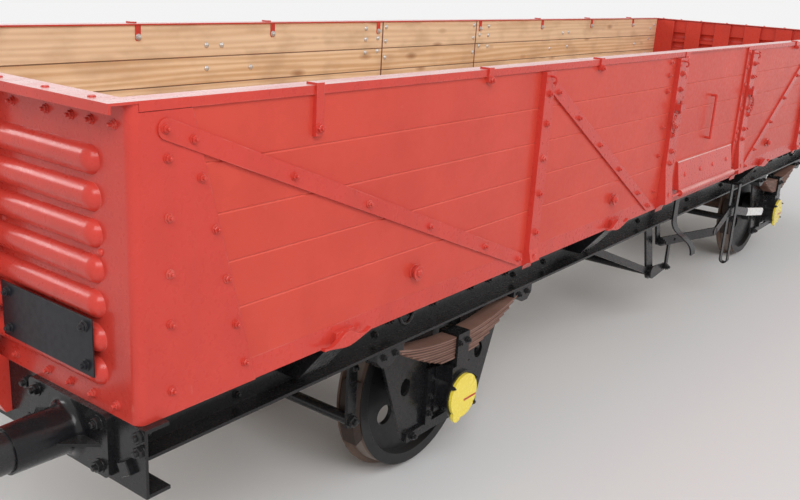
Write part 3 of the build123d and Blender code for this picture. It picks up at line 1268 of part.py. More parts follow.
LEVER_BRACKET_BACK = SOLEBAR_BACK + 1.0
LEVER_BRACKET_THICKNESS = 13.0
LEVER_BRACKET_WIDTH = 60.0
LEVER_BRACKET_LEAN = 60.0
LEVER_PIN_END = LEVER_START + LEVER_THICKNESS + LEVER_PIN_RADIUS
with BuildPart() as lever_brackets:
    for side in (1, -1):
        pivot = (side * LEVER_PIVOT[0], level(PIVOT_RISE))
        top = (side * (LEVER_PIVOT[0] - LEVER_BRACKET_LEAN), level(SOLEBAR_FOOT))
        bracket_face = LEVER_BRACKET_BACK + LEVER_BRACKET_THICKNESS
        with BuildSketch(Plane.XZ.offset(LEVER_BRACKET_BACK if side > 0 else -bracket_face)):
            bar_outline(pivot, top, LEVER_BRACKET_WIDTH, LEVER_BRACKET_WIDTH)
            with Locations(pivot):
                Circle(LEVER_BRACKET_WIDTH / 2)
            with Locations((top[0], level(SOLEBAR_FOOT))):
                Rectangle(BODY_WIDTH, LEVER_BRACKET_WIDTH, align=(Align.CENTER, Align.MIN), mode=Mode.SUBTRACT)
        extrude(amount=LEVER_BRACKET_THICKNESS)
        with BuildSketch(Plane.XZ.offset(bracket_face if side > 0 else -LEVER_PIN_END)):
            with Locations(pivot):
                Circle(LEVER_PIN_RADIUS)
        extrude(amount=LEVER_PIN_END - bracket_face)
save(lever_brackets, "lever_brackets")

# A link on each side joins the lever to the shaft's end crank.
LEVER_LINK_BACK = SHAFT_REACH
LEVER_LINK_FACE = LEVER_LINK_BACK + LEVER_LINK_THICKNESS
LEVER_LINK_PIN_END = LEVER_START + 3 * LEVER_THICKNESS
with BuildPart() as lever_links:
    for side in (1, -1):
        foot = (side * LEVER_LINK_PLACE, level(SHAFT_HEIGHT))
        top = (side * LEVER_LINK_PLACE, level(LEVER_LINK_TOP))
        with BuildSketch(Plane.XZ.offset(LEVER_LINK_BACK if side > 0 else -LEVER_LINK_FACE)):
            bar_outline(foot, top, LEVER_LINK_WIDTH, LEVER_LINK_WIDTH)
            with Locations(foot, top):
                Circle(LEVER_LINK_WIDTH / 2)
        extrude(amount=LEVER_LINK_THICKNESS)
        with BuildSketch(Plane.XZ.offset(LEVER_LINK_FACE if side > 0 else -LEVER_LINK_PIN_END)):
            with Locations(top):
                Circle(LEVER_LINK_PIN_RADIUS)
        extrude(amount=LEVER_LINK_PIN_END - LEVER_LINK_FACE)
save(lever_links, "lever_links")

with BuildPart() as lever_grips:
    for side in (1, -1):
        with BuildSketch(Plane.XZ.offset(LEVER_LINE if side > 0 else -LEVER_LINE - LEVER_THICKNESS)):
            start = (side * LEVER_POINTS[-1][0], level(SHAFT_HEIGHT + LEVER_POINTS[-1][1]))
            stop = (side * GRIP_END[0], level(SHAFT_HEIGHT + GRIP_END[1]))
            bar_outline(start, stop, LEVER_WIDTH, LEVER_WIDTH)
            with Locations(stop):
                Circle(LEVER_WIDTH / 2)
            with Locations(start):
                Circle(LEVER_WIDTH / 2, mode=Mode.SUBTRACT)
        extrude(amount=LEVER_THICKNESS)
save(lever_grips, "lever_grips")

# A long loop on the solebar guides each lever.
GUIDE_PLACE = 1050.0
LOOP_WIDTH = 50.0
LOOP_WALL = 10.0
LOOP_GAP = 22.0
LOOP_DROP = 138.0
with BuildPart() as lever_guides:
    loop_middle = LEVER_LINE + LEVER_THICKNESS / 2
    loop_top = level(SOLEBAR_TOP - SOLEBAR_DEPTH / 2)
    loop_foot = level(SHAFT_HEIGHT - LOOP_DROP)
    for side, place in ((1, GUIDE_PLACE), (-1, -GUIDE_PLACE)):
        with BuildSketch(Plane.YZ.offset(place)):
            for radius, mode in ((LOOP_GAP + LOOP_WALL, Mode.ADD), (LOOP_GAP, Mode.SUBTRACT)):
                with Locations((-side * loop_middle, loop_foot + LOOP_GAP + LOOP_WALL)):
                    Circle(radius, mode=mode)
                    Rectangle(
                        2 * radius,
                        loop_top - loop_foot - LOOP_GAP - 2 * LOOP_WALL,
                        align=(Align.CENTER, Align.MIN),
                        mode=mode,
                    )
            with Locations((-side * (loop_middle + LOOP_GAP + LOOP_WALL), loop_top)):
                Rectangle(
                    loop_middle + LOOP_GAP + LOOP_WALL - SOLEBAR_BACK - FRAME_WEB,
                    LOOP_WALL,
                    align=(Align.MIN if side > 0 else Align.MAX, Align.MAX),
                )
        extrude(amount=LOOP_WIDTH / 2, both=True)
save(lever_guides, "lever_guides")
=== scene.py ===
"""Looks of a long open railway wagon: five planks high, steel ends, a drop door in each side.

Lengths are in metres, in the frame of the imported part: X along the wagon with its front end at -X,
-Y its left side, +Z up. Heights in the tables are above the rail, and level() turns them into Z.
"""

import json
import logging
import math
import random
from dataclasses import dataclass
from enum import Enum

import bmesh
import bpy
from mathutils import Matrix, Vector


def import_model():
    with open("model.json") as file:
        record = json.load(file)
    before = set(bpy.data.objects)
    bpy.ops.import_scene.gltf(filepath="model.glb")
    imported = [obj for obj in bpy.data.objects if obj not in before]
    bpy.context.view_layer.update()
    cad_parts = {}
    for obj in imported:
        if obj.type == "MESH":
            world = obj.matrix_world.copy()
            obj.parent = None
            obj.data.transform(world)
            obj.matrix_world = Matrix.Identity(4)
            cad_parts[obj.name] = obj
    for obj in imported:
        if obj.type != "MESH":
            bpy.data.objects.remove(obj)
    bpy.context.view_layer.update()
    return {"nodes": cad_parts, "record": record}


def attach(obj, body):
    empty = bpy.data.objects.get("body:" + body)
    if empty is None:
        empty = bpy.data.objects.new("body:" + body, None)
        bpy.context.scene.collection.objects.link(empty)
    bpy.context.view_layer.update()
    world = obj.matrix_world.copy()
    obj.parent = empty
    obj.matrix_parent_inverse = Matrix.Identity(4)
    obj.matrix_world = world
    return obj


LOG = logging.getLogger("wagon")

Rgb = tuple[float, float, float]
Point = tuple[float, float, float]
Spot = tuple[float, float]
Socket = bpy.types.NodeSocket

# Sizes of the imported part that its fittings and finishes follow
RAIL = 0.0286
BODY_HALF = 4.648
SIDE_FACE = 1.194
INNER_FACE = 1.130
SOLEBAR_FACE = 0.970
SOLEBAR_LIP = 1.050
CURB_TOP = 1.175
JOINTS = (1.368, 1.530, 1.692, 1.854)
WALL_TOP = 2.046
COPING = 0.008
DOOR_STEP = 1.363
HINGE_LINE = 1.244
HINGE_HEIGHT = 1.166
HINGE_BAR = 0.021
APRON_HALF = 0.512
DOOR_SEAM = 0.645
WHEEL_PLACE = 2.667
AXLE_HEIGHT = 0.458
TREAD = 0.458
WHEEL_FACE = 0.811
FLOOR_BOARD = 0.203
OUTER_POST = 2.360
DOOR_POST = 0.703
POST_FOOT = 1.071
STRAP_OUT = 0.012
WING_OUT = 0.006
SPRING_CENTRE = 2.5403
SPRING_RADIUS = 1.7723
LEAF_PITCH = 0.0125
BUFFER_OFFSET = 0.8635
SHAFT_HEIGHT = 0.464

WAGON = "wagon"
DOORS = {-1: "door_left", 1: "door_right"}
ENDS = (-1, 1)
QUARTERS = ((-1, -1), (-1, 1), (1, -1), (1, 1))
SIDE_NAMES = {-1: "left", 1: "right"}
END_NAMES = {-1: "front", 1: "rear"}


def level(height: float) -> float:
    """Turns a height above the rail into Z."""
    return height + RAIL


# Finishes


class Surface(Enum):
    """The kinds of surface; each but the plain painted one is made by its own method."""

    PAINTED = "painted"
    BODY = "body"
    PLANKED = "planked"
    TIMBER = "timber"
    RUSTY = "rusty"
    LEAVES = "leaves"
    WHEEL = "wheel"


@dataclass(frozen=True)
class Finish:
    """How one finish looks.

    Attributes:
        surface: The kind of surface.
        colour: Its main colour.
        second: The colour that it varies towards.
        worn: What shows where it is worn; on body_red a pale pink that paints a highlight along the
            edges.
        roughness: Its mean roughness.
        metallic: How metallic it is.
        specular: How strongly it mirrors.
        coat: How much clear gloss lies on it.
        wear_and_highlight_amount: How much of its edges takes that colour, as wear, and on body_red
            as a painted highlight.
        dust: How much dust lies on it.
        scale: How fine its pattern is.
        bump: How deep its pattern is, in metres.
    """

    surface: Surface
    colour: Rgb
    second: Rgb
    worn: Rgb
    roughness: float
    metallic: float = 0.0
    specular: float = 0.5
    coat: float = 0.0
    wear_and_highlight_amount: float = 0.3
    dust: float = 0.15
    scale: float = 3.0
    bump: float = 0.0006


RUST: Rgb = (0.115, 0.045, 0.022)
STEEL: Rgb = (0.32, 0.29, 0.27)
DUST: Rgb = (0.40, 0.35, 0.30)
COPING_PALE: Rgb = (0.76, 0.44, 0.42)
PALE_WOOD: Rgb = (0.86, 0.66, 0.47)
GREY_WOOD: Rgb = (0.46, 0.29, 0.17)
SHADOW: Rgb = (0.028, 0.016, 0.012)
# A painted highlight along the plank joints, on the paint outside
JOINT_HIGHLIGHT: Rgb = (0.74, 0.14, 0.10)
# A painted highlight on the door step's lip and the hinge bar's upper face
STEP_HIGHLIGHT: Rgb = (0.80, 0.52, 0.48)
GAP_BROWN: Rgb = (0.10, 0.045, 0.022)
SEAM_RED: Rgb = (0.15, 0.035, 0.028)
STREAK_RED: Rgb = (0.40, 0.045, 0.034)
TREAD_BROWN: Rgb = (0.085, 0.055, 0.042)

FINISHES: dict[str, Finish] = {
    # Its edge colour is a pale pink that paints a highlight along the edges; its chips take that
    # colour too
    "body_red": Finish(
        Surface.BODY,
        (0.620, 0.054, 0.038),
        (0.530, 0.043, 0.030),
        (0.78, 0.26, 0.21),
        0.30,
        specular=0.20,
        coat=0.28,
        wear_and_highlight_amount=0.5,
        dust=0.03,
        bump=0.0005,
    ),
    "planks_red": Finish(
        Surface.PLANKED,
        (0.635, 0.067, 0.043),
        (0.540, 0.052, 0.034),
        (0.72, 0.20, 0.15),
        0.40,
        specular=0.20,
        coat=0.14,
        wear_and_highlight_amount=0.4,
        dust=0.03,
        bump=0.0006,
    ),
    "bare_timber": Finish(
        Surface.TIMBER,
        (0.88, 0.64, 0.42),
        (0.66, 0.40, 0.21),
        (0.30, 0.13, 0.055),
        0.58,
        specular=0.35,
        dust=0.05,
        bump=0.0007,
    ),
    "frame_black": Finish(
        Surface.PAINTED,
        (0.0075, 0.0078, 0.0095),
        (0.015, 0.0145, 0.015),
        (0.16, 0.14, 0.13),
        0.24,
        specular=0.18,
        coat=0.26,
        wear_and_highlight_amount=0.10,
        dust=0.03,
        bump=0.0003,
    ),
    "panel_black": Finish(
        Surface.PAINTED,
        (0.011, 0.011, 0.015),
        (0.018, 0.018, 0.022),
        (0.16, 0.14, 0.13),
        0.36,
        specular=0.18,
        coat=0.05,
        dust=0.03,
    ),
    "bright_steel": Finish(
        Surface.PAINTED,
        (0.012, 0.012, 0.014),
        (0.024, 0.022, 0.020),
        STEEL,
        0.26,
        specular=0.35,
        coat=0.2,
        wear_and_highlight_amount=0.5,
        dust=0.05,
    ),
    "brake_iron": Finish(
        Surface.RUSTY,
        (0.024, 0.019, 0.017),
        (0.055, 0.034, 0.026),
        (0.035, 0.020, 0.014),
        0.72,
        specular=0.3,
        dust=0.05,
        scale=9.0,
    ),
    "spring_steel": Finish(
        Surface.LEAVES,
        (0.235, 0.120, 0.088),
        (0.165, 0.085, 0.062),
        (0.30, 0.175, 0.135),
        0.62,
        specular=0.35,
        dust=0.05,
        scale=4.0,
        bump=0.0006,
    ),
    "cover_yellow": Finish(
        Surface.PAINTED,
        (0.93, 0.76, 0.075),
        (0.88, 0.68, 0.050),
        (0.45, 0.30, 0.06),
        0.24,
        coat=0.5,
        dust=0.04,
    ),
    "grip_white": Finish(
        Surface.PAINTED,
        (0.84, 0.84, 0.82),
        (0.72, 0.71, 0.68),
        (0.30, 0.28, 0.26),
        0.30,
        coat=0.3,
    ),
    "wheel_steel": Finish(
        Surface.WHEEL,
        (0.009, 0.009, 0.010),
        (0.018, 0.017, 0.017),
        (0.150, 0.088, 0.060),
        0.34,
        specular=0.32,
        wear_and_highlight_amount=0.15,
        dust=0.05,
        bump=0.0006,
    ),
    "axle_steel": Finish(
        Surface.RUSTY,
        (0.050, 0.034, 0.027),
        (0.095, 0.055, 0.038),
        RUST,
        0.62,
        specular=0.35,
        dust=0.05,
        scale=6.0,
    ),
    "galvanised": Finish(
        Surface.PAINTED,
        (0.66, 0.65, 0.64),
        (0.50, 0.49, 0.48),
        (0.35, 0.32, 0.29),
        0.32,
        metallic=0.5,
        scale=30.0,
    ),
    "signal_red": Finish(
        Surface.PAINTED,
        (0.55, 0.050, 0.025),
        (0.42, 0.035, 0.02),
        (0.3, 0.1, 0.05),
        0.35,
    ),
}


@dataclass(frozen=True)
class Patches:
    """Noise that is cut to a range, which gives a mask with soft edges.

    Attributes:
        scale: How fine the noise is.
        detail: How many finer layers it has.
        low: The noise that gives the mask's floor.
        high: The noise that gives its top.
        floor: The mask's lowest value.
        top: Its highest value.
        stretch: What the coordinates are multiplied by first, if anything.
        distortion: How warped the noise is.
    """

    scale: float
    detail: float
    low: float
    high: float
    floor: float = 0.0
    top: float = 1.0
    stretch: Point | None = None
    distortion: float = 0.0


WORN_SPOTS = Patches(11.0, 6.0, 0.46, 0.64)
DUST_SPOTS = Patches(5.0, 6.0, 0.38, 0.72, floor=0.25)
FLECKS = Patches(26.0, 5.0, 0.69, 0.72, distortion=0.6)
FLECK_FIELDS = Patches(2.2, 3.0, 0.46, 0.60)
WOOD_STAINS = Patches(2.6, 5.0, 0.48, 0.74, top=0.62, stretch=(1.0, 1.0, 2.2))
PALE_PATCHES = Patches(2.4, 6.0, 0.30, 0.62, floor=0.45, stretch=(1.0, 5.0, 1.0))
RAIN_STREAKS = Patches(1.0, 4.0, 0.52, 0.74, stretch=(9.0, 9.0, 0.9))
RUST_SCALES = Patches(38.0, 6.0, 0.42, 0.62)
LEAF_STREAKS = Patches(1.0, 4.0, 0.45, 0.70, stretch=(3.0, 3.0, 40.0))

# Ranges that masks are cut to: what gives 0, and what gives 1
FINE_RANGE: Spot = (0.3, 0.7)
COPING_TOP: Spot = (level(WALL_TOP + COPING / 4), level(WALL_TOP + COPING / 2))
BARE_INWARD: Spot = (WHEEL_FACE - 0.002, WHEEL_FACE - 0.005)
BARE_EDGE: Spot = (TREAD - 0.007, TREAD - 0.005)
BROAD_RANGE: Spot = (0.32, 0.68)
EDGE_RANGE: Spot = (0.995, 0.80)
DUSTY_FACING: Spot = (0.35, 1.0)
KNOT_RANGE: Spot = (0.19, 0.05)
GRAIN_RANGE: Spot = (0.34, 0.66)
COPING_FACING: Spot = (0.6, 0.9)
BAR_FACING: Spot = (0.1, 0.7)
UPRIGHT_FACING: Spot = (0.5, 0.2)
SIDEWAYS_FACING: Spot = (0.4, 0.8)
STEP_LIP: Spot = (0.007, 0.005)
JOINT_WIDTH: Spot = (0.0045, 0.0030)
SEAM_WIDTH: Spot = (0.009, 0.007)
LEAF_GAP: Spot = (0.24, 0.38)
BAND_INNER: Spot = (0.725, 0.735)
BAND_OUTER: Spot = (0.795, 0.785)

# How much of each effect shows
VARIATION_SHARE = 0.8
BROAD_SHARE = 0.6
GRAIN_SHARE = 0.5
TONE_SHARE = 0.45
KNOT_SHARE = 0.7
HINGE_SHARE = 0.6
STREAK_SHARE = 0.28
JOINT_HIGHLIGHT_SHARE = 0.5
GAP_SHARE = 0.75
SEAM_SHARE = 0.8
SCALE_SHARE = 0.7
LEAF_SHARE = 0.6
LEAF_GAP_SHARE = 0.92
BAND_SHARE = 0.35
CHIP_SHARE = 0.3

# How far the door's step stands out, how near (squared) to its middle the hinge bar
# gets a painted highlight, and what keeps the plank numbers of the two sides apart
STEP_OUT = 0.004
HINGE_NEAR = 1.05 * HINGE_BAR**2
PLANK_NUMBER_STEP = 3.0

# Depths and roughnesses of the finishes
LEAF_GAP_DEPTH = 2.0
BARE_ROUGHER = 0.18
DUST_ROUGHER = 0.3
COAT_ROUGHNESS = 0.16
ROUGHNESS_SPREAD: Spot = (-0.07, 0.09)


class Wiring:
    """Short ways to add nodes to a tree."""

    def __init__(self, tree: bpy.types.NodeTree) -> None:
        """Keeps the node tree that the nodes go into."""
        self.tree = tree

    def put(self, socket: Socket, value: object) -> None:
        """Links a socket to another, or sets it to a value.

        Args:
            socket: The input.
            value: An output socket or a plain value.
        """
        if isinstance(value, Socket):
            self.tree.links.new(value, socket)
        elif value is not None:
            socket.default_value = value

    def fill(self, node: bpy.types.Node, inputs: dict[str | int, object]) -> None:
        """Sets or links several inputs of a node, each by its name or index."""
        for key, value in inputs.items():
            self.put(node.inputs[key], value)

    def node(
        self, kind: str, inputs: dict[str | int, object] | None = None, **settings: object
    ) -> bpy.types.Node:
        """Adds a node.

        Args:
            kind: The node's type, without the ShaderNode prefix.
            inputs: What goes into its inputs, by name or index.
            settings: Its properties.

        Returns:
            The node.
        """
        made = self.tree.nodes.new(f"ShaderNode{kind}")
        for name, value in settings.items():
            setattr(made, name, value)
        self.fill(made, inputs or {})
        return made

    def math(
        self, operation: str, first: object, second: object = None, clamp: bool = False
    ) -> Socket:
        """Adds a math node, clamped to 0 and 1 if asked, and gives its result."""
        inputs = {0: first, 1: second}
        return self.node("Math", inputs, operation=operation, use_clamp=clamp).outputs[0]

    def both(self, *masks: object) -> Socket:
        """Multiplies masks.

        Args:
            masks: The masks.

        Returns:
            Their product.
        """
        product = masks[0]
        for mask in masks[1:]:
            product = self.math("MULTIPLY", product, mask)
        return product

    def size(self, value: object) -> Socket:
        """Gives a value without its sign."""
        return self.math("ABSOLUTE", value)

    def away(self, value: object, middle: float) -> Socket:
        """Gives how far a value is from another."""
        return self.size(self.math("SUBTRACT", value, middle))

    def squares(self, first: object, second: object) -> Socket:
        """Adds the squares of two values."""
        return self.math("ADD", self.math("POWER", first, 2.0), self.math("POWER", second, 2.0))

    def span(
        self, value: object, low: float, high: float, floor: float = 0.0, top: float = 1.0
    ) -> Socket:
        """Maps a value from low and high to floor and top, and holds it between them."""
        limits = {"From Min": low, "From Max": high, "To Min": floor, "To Max": top}
        return self.node("MapRange", {"Value": value, **limits}).outputs[0]

    def noise(
        self, vector: object, scale: float, detail: float, distortion: float = 0.0
    ) -> Socket:
        """Adds a noise texture with a scale, finer layers and a distortion."""
        inputs = {"Vector": vector, "Scale": scale, "Detail": detail, "Distortion": distortion}
        return self.node("TexNoise", inputs).outputs[0]

    def patches(self, vector: object, kind: Patches) -> Socket:
        """Adds a mask of patches.

        Args:
            vector: Its coordinates.
            kind: What the patches are like.

        Returns:
            The mask.
        """
        if kind.stretch is not None:
            vector = self.stretch(vector, kind.stretch)
        value = self.noise(vector, kind.scale, kind.detail, kind.distortion)
        return self.span(value, kind.low, kind.high, kind.floor, kind.top)

    def stretch(self, vector: object, scale: Point) -> Socket:
        """Multiplies each coordinate by its own factor."""
        return self.node("VectorMath", {0: vector, 1: scale}, operation="MULTIPLY").outputs[0]

    def axes(self, vector: object) -> bpy.types.NodeOutputs:
        """Splits a vector into its X, Y and Z."""
        return self.node("SeparateXYZ", {0: vector}).outputs

    def facing(self, axis: str) -> Socket:
        """Gives how far the surface faces along X, Y or Z."""
        return self.axes(self.node("NewGeometry").outputs["Normal"])[axis]

    def blend(self, mask: object, below: object, above: object) -> Socket:
        """Mixes two colours.

        Args:
            mask: How much of the second shows.
            below: The first colour.
            above: The second colour.

        Returns:
            The mixed colour.
        """
        made = self.node("Mix", {"Factor": mask}, data_type="RGBA")
        for socket, value in ((made.inputs[6], below), (made.inputs[7], above)):
            self.put(socket, (*value, 1.0) if isinstance(value, tuple) else value)
        return made.outputs[2]


class GroupBuilder:
    """Builds one shader node group, with a vector and one value as its inputs."""

    def __init__(self, name: str, value: str, default: float) -> None:
        """Starts a group.

        Args:
            name: The group's name.
            value: The name of its value input.
            default: What that is while nothing is linked to it.
        """
        self.tree = bpy.data.node_groups.new(name, "ShaderNodeTree")
        entry = self.tree.nodes.new("NodeGroupInput")
        self.exit = self.tree.nodes.new("NodeGroupOutput")
        self.wire = Wiring(self.tree)
        sockets = self.tree.interface
        sockets.new_socket(name="Vector", in_out="INPUT", socket_type="NodeSocketVector")
        made = sockets.new_socket(name=value, in_out="INPUT", socket_type="NodeSocketFloat")
        made.default_value = default
        self.vector = entry.outputs["Vector"]
        self.value = entry.outputs[value]

    def result(self, name: str, source: Socket) -> None:
        """Adds an output and links it.

        Args:
            name: The output's name.
            source: What it gives.
        """
        sockets = self.tree.interface
        sockets.new_socket(name=name, in_out="OUTPUT", socket_type="NodeSocketFloat")
        self.tree.links.new(source, self.exit.inputs[name])

    def mask(self, first: Socket, second: Socket) -> bpy.types.NodeTree:
        """Ends a group whose output Mask is two masks times its value.

        Args:
            first: One mask.
            second: The other mask.

        Returns:
            The group.
        """
        both = self.wire.both(first, second)
        self.result("Mask", self.wire.math("MULTIPLY", both, self.value, clamp=True))
        return self.tree


def make_mottle() -> bpy.types.NodeTree:
    """Makes the group that gives broad and fine variation.

    Returns:
        The group, with outputs Broad and Fine.
    """
    group = GroupBuilder("mottle", "Scale", 3.0)
    wire = group.wire
    inputs = {"Vector": group.vector, "Scale": group.value, "Detail": 5.0, "Roughness": 0.6}
    broad = wire.node("TexNoise", inputs)
    finer = 14.0
    inputs = {"Vector": group.vector, "Scale": wire.both(group.value, finer), "Detail": 3.0}
    fine = wire.node("TexNoise", inputs)
    group.result("Broad", wire.span(broad.outputs[0], *BROAD_RANGE))
    group.result("Fine", fine.outputs[0])
    return group.tree


def make_edge_wear_and_highlight() -> bpy.types.NodeTree:
    """Makes the group that finds the edges, for wear and, on body_red, a painted highlight.

    Returns:
        The group, with output Mask.
    """
    group = GroupBuilder("edge_wear_and_highlight", "Amount", 0.3)
    wire = group.wire
    rounded = wire.node("Bevel", {"Radius": 0.006}, samples=4).outputs[0]
    flat = wire.node("NewGeometry").outputs["Normal"]
    alike = wire.node("VectorMath", {0: rounded, 1: flat}, operation="DOT_PRODUCT")
    edge = wire.span(alike.outputs["Value"], *EDGE_RANGE)
    return group.mask(edge, wire.patches(group.vector, WORN_SPOTS))


def make_dust() -> bpy.types.NodeTree:
    """Makes the group that lays dust on faces that look up.

    Returns:
        The group, with output Mask.
    """
    group = GroupBuilder("dust", "Amount", 0.2)
    upward = group.wire.span(group.wire.facing("Z"), *DUSTY_FACING)
    return group.mask(upward, group.wire.patches(group.vector, DUST_SPOTS))


def make_chips() -> bpy.types.NodeTree:
    """Makes the group of small paint chips and rust spots.

    Returns:
        The group, with output Mask.
    """
    group = GroupBuilder("chips", "Amount", 0.5)
    flecks = group.wire.patches(group.vector, FLECKS)
    return group.mask(flecks, group.wire.patches(group.vector, FLECK_FIELDS))


def make_grain() -> bpy.types.NodeTree:
    """Makes the group of wood grain. The grain runs along the vector's X.

    Returns:
        The group, with outputs Grain, Knots and Tone.
    """
    group = GroupBuilder("grain", "Board", 0.0)
    wire = group.wire
    apart, ring_form, knot_form = (9.0, 9.0, 9.0), (0.22, 3.2, 3.8), (2.1, 5.0, 5.5)
    fibre_form, streak_form = (2.5, 70.0, 80.0), (0.8, 8.0, 10.0)
    ring_share, streak_share, fibre_share = 0.24, 0.50, 0.26
    board = wire.node("TexWhiteNoise", {"W": group.value}, noise_dimensions="1D")
    shift = wire.stretch(board.outputs["Color"], apart)
    moved = wire.node("VectorMath", {0: group.vector, 1: shift}, operation="ADD").outputs[0]
    waves = {"Scale": 2.0, "Distortion": 9.0, "Detail": 2.0, "Detail Scale": 0.9}
    waves["Vector"] = wire.stretch(moved, ring_form)
    rings = wire.node("TexWave", waves, bands_direction="Z").outputs[1]
    fibres = wire.noise(wire.stretch(moved, fibre_form), scale=1.0, detail=4.0)
    streaks = wire.noise(wire.stretch(moved, streak_form), scale=1.0, detail=3.0)
    bands = wire.math("ADD", wire.both(rings, ring_share), wire.both(streaks, streak_share))
    group.result("Grain", wire.math("ADD", bands, wire.both(fibres, fibre_share)))
    spread = {"Vector": wire.stretch(moved, knot_form), "Scale": 1.0, "Randomness": 1.0}
    cells = wire.node("TexVoronoi", spread)
    group.result("Knots", wire.span(cells.outputs["Distance"], *KNOT_RANGE))
    group.result("Tone", board.outputs["Value"])
    return group.tree


@dataclass
class Coat:
    """A material in the making, and the values that its layers build up.

    Attributes:
        wire: The material's wiring.
        place: The object coordinates.
        finish: How the material looks.
        colour: The colour so far.
        height: The bump's height so far.
        roughness: The roughness so far.
        gloss: The clear coat's weight so far.
    """

    wire: Wiring
    place: Socket
    finish: Finish
    colour: object
    height: object
    roughness: object
    gloss: object


def find_node(tree: bpy.types.NodeTree, kind: str) -> bpy.types.Node:
    """Gives a tree's first node of a type."""
    return next(node for node in tree.nodes if node.type == kind)


class MaterialMaker:
    """Makes the materials, each once."""

    def __init__(self) -> None:
        """Makes the node groups that the materials share."""
        self.groups = {
            "mottle": make_mottle(),
            "edge_wear_and_highlight": make_edge_wear_and_highlight(),
            "dust": make_dust(),
            "chips": make_chips(),
            "grain": make_grain(),
        }
        self.made: dict[str, bpy.types.Material] = {}

    def get(self, name: str) -> bpy.types.Material:
        """Gives a finish's material.

        Args:
            name: The finish's name.

        Returns:
            The material.
        """
        if name not in self.made:
            self.made[name] = self.build(name, FINISHES[name])
        return self.made[name]

    def group(
        self, wire: Wiring, name: str, inputs: dict[str, object]
    ) -> bpy.types.NodeOutputs:
        """Adds one of the shared groups to a material.

        Args:
            wire: The material's wiring.
            name: The group's name.
            inputs: What goes into it.

        Returns:
            What it puts out.
        """
        made = wire.tree.nodes.new("ShaderNodeGroup")
        made.node_tree = self.groups[name]
        wire.fill(made, inputs)
        return made.outputs

    def timber(
        self, wire: Wiring, place: Socket, finish: Finish, upright: bool
    ) -> tuple[Socket, Socket]:
        """Gives bare wood's colour and height.

        Args:
            wire: The material's wiring.
            place: The object coordinates.
            finish: The colours.
            upright: Whether the boards are a side's planks, and else they are the floor's.

        Returns:
            The colour and the height.
        """
        axes = wire.axes(place)
        if upright:
            board = axes["Y"]
            for joint in JOINTS:
                board = wire.math("ADD", board, wire.math("GREATER_THAN", axes["Z"], level(joint)))
            board = wire.math("ROUND", wire.both(board, PLANK_NUMBER_STEP))
            along = place
        else:
            board = wire.math("FLOOR", wire.math("DIVIDE", axes["X"], FLOOR_BOARD))
            turned = {0: axes["Y"], 1: axes["X"], 2: axes["Z"]}
            along = wire.node("CombineXYZ", turned).outputs[0]
        wood = self.group(wire, "grain", {"Vector": along, "Board": board})
        dark = wire.span(wood["Grain"], *GRAIN_RANGE)
        colour = wire.blend(dark, finish.colour, finish.second)
        tone = wire.span(wood["Tone"], 0.0, 1.0, 0.0, TONE_SHARE)
        colour = wire.blend(tone, colour, PALE_WOOD)
        colour = wire.blend(wire.patches(place, WOOD_STAINS), colour, GREY_WOOD)
        colour = wire.blend(wire.both(wood["Knots"], KNOT_SHARE), colour, finish.worn)
        return colour, wood["Grain"]

    def body(self, coat: Coat) -> None:
        """Makes the paint paler on the coping's top, paints a highlight on the door's step and hinge
        bar, and streaks the paint on upright faces.

        Args:
            coat: The layers, which it changes.
        """
        wire, place = coat.wire, coat.place
        axes = wire.axes(place)
        rise, across = axes["Z"], wire.size(axes["Y"])
        facing = wire.facing("Z")
        pale_spots = wire.patches(place, PALE_PATCHES)
        # Paler on the coping's upward faces, in patches
        high = wire.span(rise, *COPING_TOP)
        pale_top = wire.both(high, wire.span(facing, *COPING_FACING), pale_spots)
        coat.colour = wire.blend(pale_top, coat.colour, COPING_PALE)
        # Painted highlight: a pale line on the lip of the door's step and on the upper face of the
        # hinge bar, between the door's ends, in patches
        outside = wire.math("GREATER_THAN", across, SIDE_FACE + STEP_OUT)
        above_step = wire.away(rise, level(DOOR_STEP))
        lip = wire.both(wire.span(above_step, *STEP_LIP), outside)
        between = wire.math("LESS_THAN", wire.size(axes["X"]), APRON_HALF)
        off_line = wire.math("SUBTRACT", across, HINGE_LINE)
        off_height = wire.math("SUBTRACT", rise, level(HINGE_HEIGHT))
        near_bar = wire.math("LESS_THAN", wire.squares(off_line, off_height), HINGE_NEAR)
        bar = wire.both(near_bar, wire.span(facing, *BAR_FACING), HINGE_SHARE)
        door_highlight = wire.both(wire.math("MAXIMUM", lip, bar), between, pale_spots)
        coat.colour = wire.blend(door_highlight, coat.colour, STEP_HIGHLIGHT)
        upright = wire.span(wire.size(facing), *UPRIGHT_FACING)
        fall = wire.both(wire.patches(place, RAIN_STREAKS), upright, STREAK_SHARE)
        coat.colour = wire.blend(fall, coat.colour, STREAK_RED)

    def planked(self, coat: Coat) -> None:
        """Leaves a side's planks bare on the inside, and shows their grain through the paint.

        Args:
            coat: The layers, which it changes.
        """
        wire, place, finish = coat.wire, coat.place, coat.finish
        bare = FINISHES["bare_timber"]
        wood, grain = self.timber(wire, place, bare, True)
        axes = wire.axes(place)
        outside = wire.math("GREATER_THAN", wire.size(axes["Y"]), SIDE_FACE - STRAP_OUT)
        inside = wire.math("SUBTRACT", 1.0, outside)
        painted = wire.both(coat.height, 1 - GRAIN_SHARE)
        coat.height = wire.math("ADD", painted, wire.both(grain, GRAIN_SHARE))
